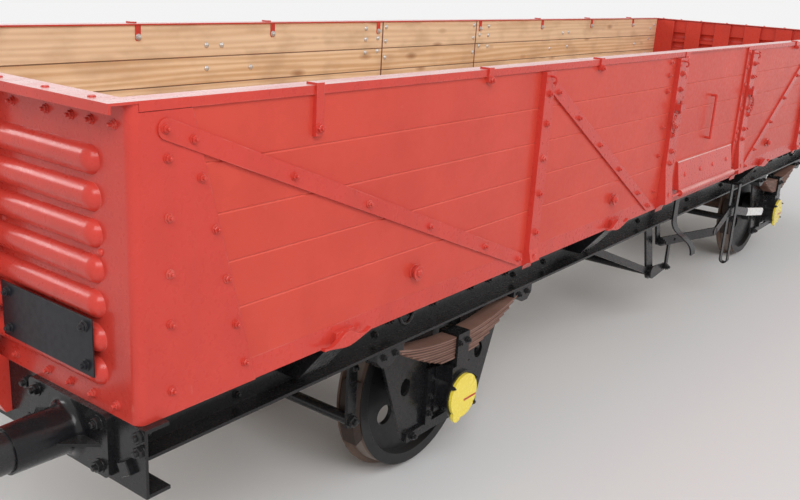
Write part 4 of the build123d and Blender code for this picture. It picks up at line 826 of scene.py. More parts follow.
        # Along each joint: a painted highlight on the paint outside, and a dark joint line on the
        # bare wood inside
        for joint in JOINTS:
            line = wire.span(wire.away(axes["Z"], level(joint)), *JOINT_WIDTH)
            coat.colour = wire.blend(wire.both(line, JOINT_HIGHLIGHT_SHARE), coat.colour, JOINT_HIGHLIGHT)
            wood = wire.blend(wire.both(line, GAP_SHARE), wood, GAP_BROWN)
        seam = wire.span(wire.away(wire.size(axes["X"]), DOOR_SEAM), *SEAM_WIDTH)
        wood = wire.blend(wire.both(seam, SEAM_SHARE), wood, SEAM_RED)
        coat.colour = wire.blend(outside, wood, coat.colour)
        rougher = wire.both(inside, bare.roughness - finish.roughness)
        coat.roughness = wire.math("ADD", coat.roughness, rougher)
        coat.gloss = wire.both(outside, finish.coat)

    def rusty(self, coat: Coat) -> None:
        """Lays scaly rust on a surface.

        Args:
            coat: The layers, which it changes.
        """
        wire = coat.wire
        scaly = wire.patches(coat.place, RUST_SCALES)
        coat.colour = wire.blend(wire.both(scaly, SCALE_SHARE), coat.colour, coat.finish.worn)
        coat.height = wire.math("ADD", coat.height, scaly)

    def leaves(self, coat: Coat) -> None:
        """Draws the dark lines between a spring's leaves.

        Args:
            coat: The layers, which it changes.
        """
        wire, place, finish = coat.wire, coat.place, coat.finish
        radius = self.distance(wire, wire.axes(place), level(SPRING_CENTRE))
        step = wire.math("DIVIDE", wire.math("SUBTRACT", radius, SPRING_RADIUS), LEAF_PITCH)
        off_middle = wire.away(wire.math("FRACT", step), 0.5)
        sideways = wire.span(wire.size(wire.facing("Y")), *SIDEWAYS_FACING)
        gap = wire.both(wire.span(off_middle, *LEAF_GAP), sideways)
        streaks = wire.both(wire.patches(place, LEAF_STREAKS), LEAF_SHARE)
        coat.colour = wire.blend(streaks, coat.colour, finish.worn)
        coat.colour = wire.blend(wire.both(gap, LEAF_GAP_SHARE), coat.colour, SHADOW)
        coat.height = wire.math("SUBTRACT", coat.height, wire.both(gap, LEAF_GAP_DEPTH))

    def distance(self, wire: Wiring, axes: bpy.types.NodeOutputs, height: float) -> Socket:
        """Gives the distance from a line across the wagon at each wheelset.

        Args:
            wire: The material's wiring.
            axes: The object coordinates.
            height: The line's Z.

        Returns:
            The distance.
        """
        out = wire.math("SUBTRACT", wire.size(axes["X"]), WHEEL_PLACE)
        rise = wire.math("SUBTRACT", axes["Z"], height)
        return wire.math("SQRT", wire.squares(out, rise))

    def wheel(self, coat: Coat) -> None:
        """Leaves the tread and flange bare, with a brighter running band.

        Args:
            coat: The layers, which it changes.
        """
        wire, place = coat.wire, coat.place
        axes = wire.axes(place)
        radius = self.distance(wire, axes, level(AXLE_HEIGHT))
        across = wire.size(axes["Y"])
        inward = wire.span(across, *BARE_INWARD)
        bare = wire.both(wire.span(radius, *BARE_EDGE), inward)
        brown = wire.noise(place, scale=6.0, detail=5.0)
        brown = wire.blend(brown, coat.finish.worn, TREAD_BROWN)
        coat.colour = wire.blend(bare, coat.colour, brown)
        band = wire.both(bare, wire.span(across, *BAND_INNER), wire.span(across, *BAND_OUTER))
        coat.colour = wire.blend(wire.both(band, BAND_SHARE), coat.colour, STEEL)
        coat.roughness = wire.math("ADD", coat.roughness, wire.both(bare, BARE_ROUGHER))

    def bare_boards(self, coat: Coat) -> None:
        """Makes the boards of the floor and the ends bare wood."""
        coat.colour, coat.height = self.timber(coat.wire, coat.place, coat.finish, False)

    def build(self, name: str, finish: Finish) -> bpy.types.Material:
        """Makes a material.

        Args:
            name: The finish's name.
            finish: How it looks.

        Returns:
            The material.
        """
        material = bpy.data.materials.new(name)
        material.use_nodes = True
        wire = Wiring(material.node_tree)
        place = wire.node("TexCoord").outputs["Object"]
        mottle = self.group(wire, "mottle", {"Vector": place, "Scale": finish.scale})
        broad, fine = mottle["Broad"], mottle["Fine"]
        smooth, rough = (finish.roughness + shift for shift in ROUGHNESS_SPREAD)
        coat = Coat(
            wire,
            place,
            finish,
            wire.blend(wire.both(broad, VARIATION_SHARE), finish.colour, finish.second),
            wire.math("ADD", wire.both(broad, BROAD_SHARE), wire.both(fine, 1 - BROAD_SHARE)),
            wire.span(fine, *FINE_RANGE, smooth, rough),
            finish.coat,
        )
        dressers = {
            Surface.BODY: self.body,
            Surface.PLANKED: self.planked,
            Surface.TIMBER: self.bare_boards,
            Surface.RUSTY: self.rusty,
            Surface.LEAVES: self.leaves,
            Surface.WHEEL: self.wheel,
        }
        if finish.surface in dressers:
            dressers[finish.surface](coat)
        colour = coat.colour
        # On body_red the edge layer is a painted highlight along the edges
        layers = (
            ("edge_wear_and_highlight", finish.wear_and_highlight_amount, finish.worn),
            ("chips", finish.wear_and_highlight_amount * CHIP_SHARE, finish.worn),
            ("dust", finish.dust, DUST),
        )
        masks = {}
        for group, amount, shade in layers:
            inputs = {"Vector": place, "Amount": amount}
            masks[group] = self.group(wire, group, inputs)["Mask"]
            colour = wire.blend(masks[group], colour, shade)
        dusty = wire.both(masks["dust"], DUST_ROUGHER)
        soft = wire.node("Bevel", {"Radius": 0.0025}, samples=4).outputs[0]
        relief = {"Strength": 0.7, "Distance": finish.bump, "Height": coat.height, "Normal": soft}
        looks = {
            "Base Color": colour,
            "Roughness": wire.math("ADD", coat.roughness, dusty, clamp=True),
            "Metallic": finish.metallic,
            "Specular IOR Level": finish.specular,
            "Coat Weight": coat.gloss,
            "Coat Roughness": COAT_ROUGHNESS,
            "Normal": wire.node("Bump", relief).outputs[0],
        }
        wire.fill(find_node(material.node_tree, "BSDF_PRINCIPLED"), looks)
        return material


# Mesh work

# Ratios and counts of the fasteners' shapes
WASHER_HEIGHT = 0.003
WASHER_REACH = 1.25
WASHER_TOP = 1.22
BEVEL_START = 0.85
NUT_TOP = 0.86
HEAD_TOP = 0.9
STUD_CORE = 0.52
STUD_BEVEL_START = 0.8
STUD_TOP = 0.7
DOME_RIM = 0.15
DOME_STEPS = (0.0, 0.4, 0.75, 0.95)
LINK_STEPS = 4
SHARP_ANGLE = 35


@dataclass(frozen=True)
class Layer:
    """One turned part of a fastener.

    Attributes:
        sides: How many sides it has.
        profile: Its (radius, height) points, which end at radius 0.
    """

    sides: int
    profile: tuple[Spot, ...]


@dataclass(frozen=True)
class Fastener:
    """A bolt or rivet as stacked turned layers.

    Attributes:
        layers: The layers, from its foot.
    """

    layers: tuple[Layer, ...]


def hex_nut(radius: float, height: float, stud: float = 0.0) -> Fastener:
    """A six-sided nut on a washer, with a stud end if asked.

    Args:
        radius: The nut's corner radius.
        height: The nut's height.
        stud: How far the stud stands out of it.

    Returns:
        The fastener.
    """
    reach = radius * WASHER_REACH
    rim = (radius * WASHER_TOP, WASHER_HEIGHT)
    washer = Layer(16, ((reach, 0.0), rim, (0.0, WASHER_HEIGHT)))
    walls = ((radius, WASHER_HEIGHT), (radius, height * BEVEL_START))
    nut = Layer(6, (*walls, (radius * NUT_TOP, height), (0.0, height)))
    if stud == 0.0:
        return Fastener((washer, nut))
    core, tip = radius * STUD_CORE, height + stud
    walls = ((core, height), (core, height + stud * STUD_BEVEL_START))
    end = Layer(10, (*walls, (core * STUD_TOP, tip), (0.0, tip)))
    return Fastener((washer, nut, end))


def square_head(half: float, height: float) -> Fastener:
    """A square bolt head with eased edges.

    Args:
        half: Half its width.
        height: Its height.

    Returns:
        The fastener.
    """
    corner = half * math.sqrt(2)
    walls = ((corner, 0.0), (corner, height * BEVEL_START))
    return Fastener((Layer(4, (*walls, (corner * HEAD_TOP, height), (0.0, height))),))


def dome(radius: float, height: float) -> Fastener:
    """A round-headed rivet or coach bolt.

    Args:
        radius: The head's radius.
        height: The head's height.

    Returns:
        The fastener.
    """
    curve = [(math.sqrt(1 - step * step), DOME_RIM + (1 - DOME_RIM) * step) for step in DOME_STEPS]
    outline = [(radius * across, height * rise) for across, rise in curve]
    return Fastener((Layer(14, ((radius, 0.0), *outline, (0.0, height))),))


COACH = dome(0.017, 0.010)
STUD_NUT = hex_nut(0.0125, 0.011, 0.010)
LOW_COACH = dome(0.018, 0.005)
RIVET = dome(0.012, 0.008)
COVER_NUT = hex_nut(0.011, 0.016, 0.010)
SMALL_NUT = hex_nut(0.015, 0.013, 0.008)
NUT = hex_nut(0.020, 0.017, 0.012)
BIG_NUT = hex_nut(0.030, 0.024, 0.014)
SQUARE_HEAD = square_head(0.024, 0.020)


def stand(point: Point, normal: Point, turn: float = 0.0) -> Matrix:
    """Gives a matrix that puts local Z along a normal, after a turn about it."""
    aim = Vector(normal).to_track_quat("Z", "Y").to_matrix().to_4x4()
    return Matrix.Translation(point) @ aim @ Matrix.Rotation(turn, 4, "Z")


def add_object(name: str, data: bpy.types.ID) -> bpy.types.Object:
    """Adds an object to the scene.

    Args:
        name: Its name.
        data: Its mesh, light or camera.

    Returns:
        The object.
    """
    made = bpy.data.objects.new(name, data)
    bpy.context.scene.collection.objects.link(made)
    return made


class Piece:
    """One mesh piece under construction."""

    def __init__(self, name: str, body: str, finish: str) -> None:
        """Starts an empty piece.

        Args:
            name: The piece's name.
            body: The CAD body that it moves with.
            finish: Its finish.
        """
        self.name = name
        self.body = body
        self.finish = finish
        self.mesh = bmesh.new()

    def skin(self, lower: list[bmesh.types.BMVert], upper: list[bmesh.types.BMVert]) -> None:
        """Joins two rings of points, or a ring and a single point above it.

        Args:
            lower: The first ring.
            upper: The second ring, or one point.
        """
        count = len(lower)
        for step in range(count):
            following = (step + 1) % count
            tops = upper if len(upper) == 1 else (upper[following], upper[step])
            self.mesh.faces.new((lower[step], lower[following], *tops))

    def lathe(self, matrix: Matrix, layer: Layer) -> None:
        """Turns a profile about local Z.

        Args:
            matrix: Where local space goes.
            layer: The profile and its sides.
        """
        rings = []
        turns = [2 * math.pi * (step + 0.5) / layer.sides for step in range(layer.sides)]
        for radius, height in layer.profile:
            around = [Vector((radius * math.cos(a), radius * math.sin(a), height)) for a in turns]
            spots = around if radius > 0.0 else [Vector((0, 0, height))]
            rings.append([self.mesh.verts.new(matrix @ spot) for spot in spots])
        for lower, upper in zip(rings, rings[1:]):
            self.skin(lower, upper)

    def fasten(self, fastener: Fastener, point: Point, normal: Point, turn: float = 0.0) -> None:
        """Adds a fastener.

        Args:
            fastener: Its shape.
            point: Where its foot's middle is.
            normal: Where its head points.
            turn: Its turn about that.
        """
        matrix = stand(point, normal, turn)
        for layer in fastener.layers:
            self.lathe(matrix, layer)

    def on_side(
        self,
        fastener: Fastener,
        side: int,
        spot: Spot,
        out: float,
        turn: float = 0.0,
        lean: float = 0.0,
    ) -> None:
        """Adds a fastener at an (x, height) of a side, out from the middle, leaning up."""
        x, height = spot
        self.fasten(fastener, (x, side * out, level(height)), (0, side, lean), turn)

    def on_end(
        self,
        fastener: Fastener,
        end: int,
        spot: Spot,
        out: float,
        turn: float = 0.0,
        lean: float = 0.0,
    ) -> None:
        """Adds a fastener at a (y, height) of an end, out from the middle, leaning up."""
        across, height = spot
        self.fasten(fastener, (end * out, across, level(height)), (end, 0, lean), turn)

    def tube(
        self, path: list[Vector], radius: float, closed: bool = False, sides: int = 8
    ) -> None:
        """Sweeps a round bar along a path.

        Args:
            path: The points of its centre line.
            radius: The bar's radius.
            closed: Whether its ends meet.
            sides: How many sides its section has.
        """
        count = len(path)
        turns = [2 * math.pi * step / sides for step in range(sides)]
        rings = []
        up = None
        for index, point in enumerate(path):
            before = path[index - 1] if index > 0 or closed else point
            after = path[(index + 1) % count] if index < count - 1 or closed else point
            way = (after - before).normalized()
            if up is None:
                up = way.orthogonal()
            up = (up - way * up.dot(way)).normalized()
            side = way.cross(up)
            around = [(up * math.cos(a) + side * math.sin(a)) * radius for a in turns]
            rings.append([self.mesh.verts.new(point + offset) for offset in around])
        pairs = list(zip(rings, rings[1:]))
        if closed:
            pairs.append((rings[-1], rings[0]))
        for lower, upper in pairs:
            self.skin(lower, upper)
        if not closed:
            self.mesh.faces.new(list(reversed(rings[0])))
            self.mesh.faces.new(rings[-1])

    def plate(self, matrix: Matrix, outline: list[Spot], thickness: float) -> None:
        """Adds a flat plate: an outline in local X and Y, raised along local Z.

        Args:
            matrix: Where local space goes.
            outline: Its corners in order.
            thickness: Its thickness.
        """
        lower, upper = (
            [self.mesh.verts.new(matrix @ Vector((x, y, height))) for x, y in outline]
            for height in (0, thickness)
        )
        self.mesh.faces.new(list(reversed(lower)))
        self.mesh.faces.new(upper)
        self.skin(lower, upper)

    def finish_up(self, maker: MaterialMaker, slots: set[str]) -> bpy.types.Object:
        """Turns the mesh into an object of the scene.

        Args:
            maker: The maker of materials.
            slots: The record's slots; not used.

        Returns:
            The object.
        """
        bmesh.ops.recalc_face_normals(self.mesh, faces=self.mesh.faces)
        data = bpy.data.meshes.new(self.name)
        self.mesh.to_mesh(data)
        self.mesh.free()
        made = add_object(self.name, data)
        data.materials.append(maker.get(self.finish))
        data.shade_smooth()
        data.set_sharp_from_angle(angle=math.radians(SHARP_ANGLE))
        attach(made, self.body)
        LOG.info("%s: %d faces on %s", self.name, len(data.polygons), self.body)
        return made


# The wagon's fittings


@dataclass(frozen=True)
class Bar:
    """A diagonal bar at the front half of a side, and where its bolts are.

    Attributes:
        start: The (x, height) of its upper end.
        stop: The (x, height) of its lower end.
        bolts: The x of each bolt.
    """

    start: Spot
    stop: Spot
    bolts: tuple[float, ...]

    def spots(self) -> list[Spot]:
        """Gives each bolt's (x, height)."""
        slope = (self.stop[1] - self.start[1]) / (self.stop[0] - self.start[0])
        return [(x, self.start[1] + (x - self.start[0]) * slope) for x in self.bolts]


@dataclass(frozen=True)
class Post:
    """A post and its bolts.

    Attributes:
        place: Its x in the rear half.
        knee: The height under which it gets deeper.
        depth: Its depth above the knee.
        foot_depth: Its depth at the foot.
        nuts: The height of each nut.
        heads: The height of each low bolt head at its foot.
    """

    place: float
    knee: float
    depth: float
    foot_depth: float
    nuts: tuple[float, ...]
    heads: tuple[float, ...]

    def face(self, height: float) -> float:
        """Gives how far its face stands out at a height.

        Args:
            height: The height above the rail.

        Returns:
            The distance from the wagon's middle.
        """
        bend = POST_FOOT + self.foot_depth
        share = min(max((self.knee - height) / (self.knee - bend), 0.0), 1.0)
        return SIDE_FACE + self.depth + (self.foot_depth - self.depth) * share


BARS = (
    Bar((-4.557, 1.982), (-2.435, 1.130), (-4.535, -4.436, -4.020, -3.626, -3.229, -2.790, -2.475)),
    Bar((-2.285, 1.946), (-0.898, 1.130), (-2.240, -1.994, -1.711, -1.426, -1.111, -0.930)),
)
POSTS = (
    Post(OUTER_POST, CURB_TOP, 0.028, 0.044, (1.261, 1.451, 1.620, 1.784, 1.923), (1.134,)),
    Post(DOOR_POST, DOOR_STEP, 0.028, 0.060, (1.383, 1.456, 1.610, 1.835, 1.929), (1.182,)),
)
CORNER_BOLTS = (
    (-4.525, 1.888),
    (-4.525, 1.715),
    (-4.525, 1.547),
    (-4.525, 1.389),
    (-4.525, 1.174),
    (-4.404, 1.815),
    (-4.350, 1.649),
    (-4.305, 1.481),
    (-4.268, 1.319),
    (-4.228, 1.175),
)


def upright(place: Point) -> Matrix:
    """Gives a matrix that puts local Y upward and local Z towards the wagon's left."""
    return Matrix.Translation(place) @ Matrix.Rotation(math.pi / 2, 4, "X")


def half_turn(count: int) -> list[float]:
    """Gives the angles of half a turn in equal steps, in radians."""
    return [math.pi * (step / count) for step in range(count + 1)]


def link_path(
    centre: Vector, along: Vector, across: Vector, length: float, width: float
) -> list[Vector]:
    """The centre line of one chain link.

    Args:
        centre: Its middle.
        along: The way that it is long.
        across: The way that it is wide.
        length: Half the straight part.
        width: Half the width.

    Returns:
        Its points, in order round the link.
    """
    path = []
    for end in ENDS[::-1]:
        for step in range(LINK_STEPS + 1):
            angle = math.pi * (step / LINK_STEPS - 0.5)
            far = end * (length + width * math.cos(angle))
            aside = end * width * math.sin(angle)
            path.append(centre + (along * far + across * aside))
    return path


@dataclass
class SideFittings:
    """What is bolted to one side of the body.

    Attributes:
        side: -1 for the left side, 1 for the right.
        seed: Where its random turns start.
        clips: The (x, height) of each coping clip's bolt.
        clip_drop: How far under that the bolt is in the end.
        bobbins: The x of each rope bobbin.
        bobbin_height: Their height.
        bobbin_out: How far their faces stand out of the planks.
        hanging_place: The x of the bolts beside the door posts.
        hanging_bolts: Their heights.
        wing_edge: The x beyond which a corner bolt has no head inside.
        lowest_head: The height over which bolts have heads inside.
        tab_half: Half the width of a clip's inner leg.
        tab_corner: How much of that half its cut corners take.
        tab_drop: How far it hangs down.
        tab_thickness: Its thickness.
        tab_bolt: The height of its bolt.
        chain_place: The x of the catch chains.
        chain_top: The height that they hang from.
        chain_foot: The height of their lower end.
        chain_out: How far they hang out from the planks.
        chain_sag: How far they sag sideways.
        chain_links: How many links each has.
        link_length: Half the straight part of a link.
        link_width: Half its width.
        link_bar: Its bar's radius.
        pin: How far a chain's pin stands over and under its upper end.
        pin_bar: That pin's radius.
        anchor: How far out its nut is, and how far under the chain's foot.
        hook_height: The height of the rope hooks.
        hook_radius: The bend of a rope hook.
        hook_root: How far its root goes into the post.
        hook_bar: Its bar's radius.
    """

    side: int
    seed: int = 11
    clips: tuple[Spot, ...] = ((3.910, 1.916), (2.860, 2.014), (1.803, 2.014))
    clip_drop: float = 0.003
    bobbins: tuple[float, ...] = (3.304, 1.451)
    bobbin_height: float = 1.2715
    bobbin_out: float = 0.030
    hanging_place: float = 0.845
    hanging_bolts: tuple[float, ...] = (2.000, 1.923, 1.828, 1.617, 1.442, 1.223)
    wing_edge: float = -4.5
    lowest_head: float = CURB_TOP + 0.02
    tab_half: float = 0.018
    tab_corner: float = 0.4
    tab_drop: float = 0.085
    tab_thickness: float = 0.006
    tab_bolt: float = WALL_TOP - 0.065
    chain_place: float = 0.735
    chain_top: float = 1.700
    chain_foot: float = 1.575
    chain_out: float = 0.042
    chain_sag: float = 0.035
    chain_links: int = 7
    link_length: float = 0.0075
    link_width: float = 0.0065
    link_bar: float = 0.0028
    pin: Spot = (0.014, 0.006)
    pin_bar: float = 0.004
    anchor: Spot = (0.028, 0.015)
    hook_height: float = 2.002
    hook_radius: float = 0.015
    hook_root: float = 0.006
    hook_bar: float = 0.0055

    def start(self, name: str, finish: str) -> Piece:
        """Starts a piece that is named for this side."""
        return Piece(f"{name}_{SIDE_NAMES[self.side]}", WAGON, finish)

    def tab_places(self) -> tuple[float, ...]:
        """Gives the x of each clip's inner leg: at the outside clips and the door posts."""
        return (*(x for x, _ in self.clips), DOOR_POST)

    def outer_bolts(self) -> Piece:
        """Makes the bolts of the posts, bars, corner plates and clips.

        Returns:
            The piece.
        """
        piece = self.start("side_bolts", "body_red")
        chance = random.Random(self.seed + self.side)
        on_bars = [spot for bar in BARS for spot in bar.spots()]
        for end in ENDS:
            for post in POSTS:
                for fastener, heights in ((SMALL_NUT, post.nuts), (LOW_COACH, post.heads)):
                    for height in heights:
                        spot = (end * post.place, height)
                        out = post.face(height)
                        piece.on_side(fastener, self.side, spot, out, chance.random())
            for spots, out in ((on_bars, STRAP_OUT), (CORNER_BOLTS, WING_OUT)):
                for x, height in spots:
                    spot = (-end * x, height)
                    piece.on_side(STUD_NUT, self.side, spot, SIDE_FACE + out, chance.random())
            for x, height in self.clips:
                spot = (end * x, height - self.clip_drop)
                out = SIDE_FACE + 2 * COPING
                piece.on_side(SMALL_NUT, self.side, spot, out, chance.random())
            for x in self.bobbins:
                spot = (end * x, self.bobbin_height)
                piece.on_side(COACH, self.side, spot, SIDE_FACE + self.bobbin_out)
            for height in self.hanging_bolts:
                spot = (end * self.hanging_place, height)
                piece.on_side(STUD_NUT, self.side, spot, SIDE_FACE, chance.random())
        return piece

    def inner_bolts(self) -> Piece:
        """Makes the bolt heads that show on the bare boards inside.

        Returns:
            The piece.
        """
        piece = self.start("inner_bolts", "galvanised")
        inward = (0, -self.side, 0)
        spots = [(post.place, height) for post in POSTS for height in post.nuts]
        spots += [(-x, height) for bar in BARS for x, height in bar.spots()]
        spots += [(-x, height) for x, height in CORNER_BOLTS if x > self.wing_edge]
        spots += [(self.hanging_place, height) for height in self.hanging_bolts]
        tab_face = self.side * (INNER_FACE - self.tab_thickness)
        for end in ENDS:
            for x, height in spots:
                if height > self.lowest_head:
                    point = (end * x, self.side * INNER_FACE, level(height))
                    piece.fasten(COACH, point, inward)
            for x in self.tab_places():
                piece.fasten(SMALL_NUT, (end * x, tab_face, level(self.tab_bolt)), inward)
        return piece

    def clip_tabs(self) -> Piece:
        """Makes the legs of the coping's clips on the inside.

        Returns:
            The piece.
        """
        piece = self.start("clip_tabs", "body_red")
        half, drop, thickness = self.tab_half, self.tab_drop, self.tab_thickness
        corner = half * self.tab_corner
        left = [(-half, 0.0), (-half, corner - drop), (corner - half, -drop)]
        outline = left + [(-x, y) for x, y in reversed(left)]
        inner = INNER_FACE if self.side > 0 else thickness - INNER_FACE
        for end in ENDS:
            for x in self.tab_places():
                piece.plate(upright((end * x, inner, level(WALL_TOP))), outline, thickness)
        return piece

    def catch_chains(self) -> Piece:
        """Makes the short chains that keep the door catches' pins.

        Returns:
            The piece.
        """
        piece = self.start("catch_chains", "body_red")
        outward = Vector((0, 1, 0))
        shares = [k / self.chain_links for k in range(self.chain_links + 1)]
        pin_top, pin_foot = self.pin
        anchor_out, anchor_drop = self.anchor
        for end in ENDS:
            x, y = end * self.chain_place, self.side * (SIDE_FACE + self.chain_out)
            start = Vector((x, y, level(self.chain_top)))
            stop = Vector((x, y, level(self.chain_foot)))
            sag = Vector((end * self.chain_sag, 0.0, 0.0))
            points = [start.lerp(stop, share) + sag * math.sin(math.pi * share) for share in shares]
            for index, (first, second) in enumerate(zip(points, points[1:])):
                along = (second - first).normalized()
                across = outward if index % 2 else along.cross(outward)
                middle = (first + second) / 2
                path = link_path(middle, along, across, self.link_length, self.link_width)
                piece.tube(path, self.link_bar, closed=True, sides=6)
            pin = [start + Vector((0, 0, pin_top)), start - Vector((0, 0, pin_foot))]
            piece.tube(pin, self.pin_bar)
            spot = (x, self.chain_foot - anchor_drop)
            piece.on_side(SMALL_NUT, self.side, spot, SIDE_FACE + anchor_out)
        return piece

    def rope_hooks(self) -> Piece:
        """Makes the small rope hooks at the posts' tops.

        Returns:
            The piece.
        """
        piece = self.start("post_hooks", "body_red")
        side, bend, top = self.side, self.hook_radius, level(self.hook_height)
        for end in ENDS:
            for post in POSTS:
                x, face = end * post.place, side * post.face(self.hook_height)
                reach = [(-self.hook_root, 0.0), (bend, 0.0)]
                for angle in half_turn(8):
                    reach.append((bend + bend * math.sin(angle), bend * math.cos(angle) - bend))
                path = [Vector((x, face + side * out, top + rise)) for out, rise in reach]
                piece.tube(path, self.hook_bar)
        return piece

    def pieces(self) -> list[Piece]:
        """Gives this side's pieces."""
        bolts = [self.outer_bolts(), self.inner_bolts()]
        return bolts + [self.clip_tabs(), self.catch_chains(), self.rope_hooks()]


@dataclass
class DoorFittings:
    """What is bolted to one drop door.

    Attributes:
        side: -1 for the left side, 1 for the right.
        edge_place: The x of the bolts in the edge irons.
        edge_bolts: Their heights.
        apron_places: The x of the bolts in the apron.
        apron_height: Their height.
        apron_out: How far the apron stands out there.
        apron_lean: How much it faces up.
    """

    side: int
    edge_place: float = 0.607
    edge_bolts: tuple[float, ...] = (2.010, 1.906, 1.784, 1.610, 1.443, 1.385)
    apron_places: tuple[float, ...] = (0.12, 0.40)
    apron_height: float = 1.270
    apron_out: float = 0.026
    apron_lean: float = 0.17

    def pieces(self) -> list[Piece]:
        """Makes the bolts of the edge irons and the apron.

        Returns:
            The bolts outside, and their heads inside.
        """
        name, side = SIDE_NAMES[self.side], self.side
        outside = Piece(f"door_bolts_{name}", DOORS[side], "body_red")
        inside = Piece(f"door_heads_{name}", DOORS[side], "galvanised")
        for end in ENDS:
            for height in self.edge_bolts:
                x = end * self.edge_place
                outside.on_side(COACH, side, (x, height), SIDE_FACE + STRAP_OUT)
                inside.fasten(COACH, (x, side * INNER_FACE, level(height)), (0, -side, 0))
            for place in self.apron_places:
                spot, out = (end * place, self.apron_height), SIDE_FACE + self.apron_out
                outside.on_side(COACH, side, spot, out, lean=self.apron_lean)
        return [outside, inside]


@dataclass
class EndFittings:
    """The rivets and bolts of one pressed steel end.

    Attributes:
        end: -1 for the front end, 1 for the rear.
        seed: Where its random turns start.
        top_row: How far from the middle each rivet of the top row is.
        top_height: The top row's height.
        foot_row: How far from the middle each rivet of the foot row is.
        foot_height: The foot row's height.
        plate_rivets: The (distance from the middle, height) of the rivets between the rows.
        stanchion_place: How far from the middle each stanchion is.
        stanchion_bolts: The heights of its bolt pairs.
        stanchion_shift: Half the distance between the bolts of a pair.
        stanchion_lean: How much its face looks up.
        stanchion_top: The height of its top.
        stanchion_foot: The height where its taper ends.
        stanchion_depths: Its depth over the plate at its top and at its foot.
        coping_rivets: How far from the middle each rivet of the coping is.
        coping_out: How far out from the plate they are.
        panel_place: How far from the middle the blank panel is.
        panel_height: Its middle's height.
        panel_bolts: How far from that middle its bolts are.
        panel_out: How far its face stands out of the end.
    """

    end: int
    seed: int = 31
    top_row: tuple[float, ...] = (0.10, 0.26, 0.537, 0.633, 0.810, 0.934, 1.028, 1.130)
    top_height: float = 1.984
    foot_row: tuple[float, ...] = (0.10, 0.26, 0.380, 0.560, 0.742, 0.863, 0.980, 1.099)
    foot_height: float = 1.136
    plate_rivets: tuple[Spot, ...] = ((1.048, 1.603), (0.544, 1.600))
    stanchion_place: float = 0.450
    stanchion_bolts: tuple[float, ...] = (1.955, 1.816, 1.600, 1.384, 1.168)
    stanchion_shift: float = 0.028
    stanchion_lean: float = 0.07
    stanchion_top: float = 2.022
    stanchion_foot: float = 1.095
    stanchion_depths: Spot = (0.060, 0.124)
    coping_rivets: tuple[float, ...] = (0.10, 0.32, 0.62, 0.86, 1.08)
    coping_out: float = 0.030
    panel_place: float = 0.802
    panel_height: float = 1.312
    panel_bolts: Spot = (0.205, 0.062)
    panel_out: float = 0.039

    def rivets(self) -> Piece:
        """Makes the rivets of the plate, stanchions and coping.

        Returns:
            The piece.
        """
        piece = Piece(f"end_rivets_{END_NAMES[self.end]}", WAGON, "body_red")
        chance = random.Random(self.seed + self.end)
        shallow, deep = self.stanchion_depths
        taper = self.stanchion_top - self.stanchion_foot
        rows = [(across, self.top_height) for across in self.top_row]
        rows += [(across, self.foot_height) for across in self.foot_row]
        for side in ENDS:
            for across, height in rows:
                spot = (side * across, height)
                piece.on_end(STUD_NUT, self.end, spot, BODY_HALF, chance.random())
            for across, height in self.plate_rivets:
                piece.on_end(RIVET, self.end, (side * across, height), BODY_HALF)
            for height in self.stanchion_bolts:
                share = (self.stanchion_top - height) / taper
                out = BODY_HALF + shallow + (deep - shallow) * share
                for shift in (-self.stanchion_shift, self.stanchion_shift):
                    spot = (side * self.stanchion_place + shift, height)
                    piece.on_end(SMALL_NUT, self.end, spot, out, lean=self.stanchion_lean)
            for across in self.coping_rivets:
                x = self.end * (BODY_HALF + self.coping_out)
                piece.fasten(RIVET, (x, side * across, level(WALL_TOP + COPING)), (0, 0, 1))
        return piece

    def panel(self) -> Piece:
        """Makes the bolts of the blank panel.

        Returns:
            The piece.
        """
        piece = Piece(f"panel_bolts_{END_NAMES[self.end]}", WAGON, "panel_black")
        half_width, half_height = self.panel_bolts
        for hand in ENDS:
            for way in ENDS:
                across = self.end * self.panel_place + hand * half_width
                spot = (across, self.panel_height + way * half_height)
                piece.on_end(SMALL_NUT, self.end, spot, BODY_HALF + self.panel_out)
        return piece

    def pieces(self) -> list[Piece]:
        """Gives this end's pieces."""
        return [self.rivets(), self.panel()]


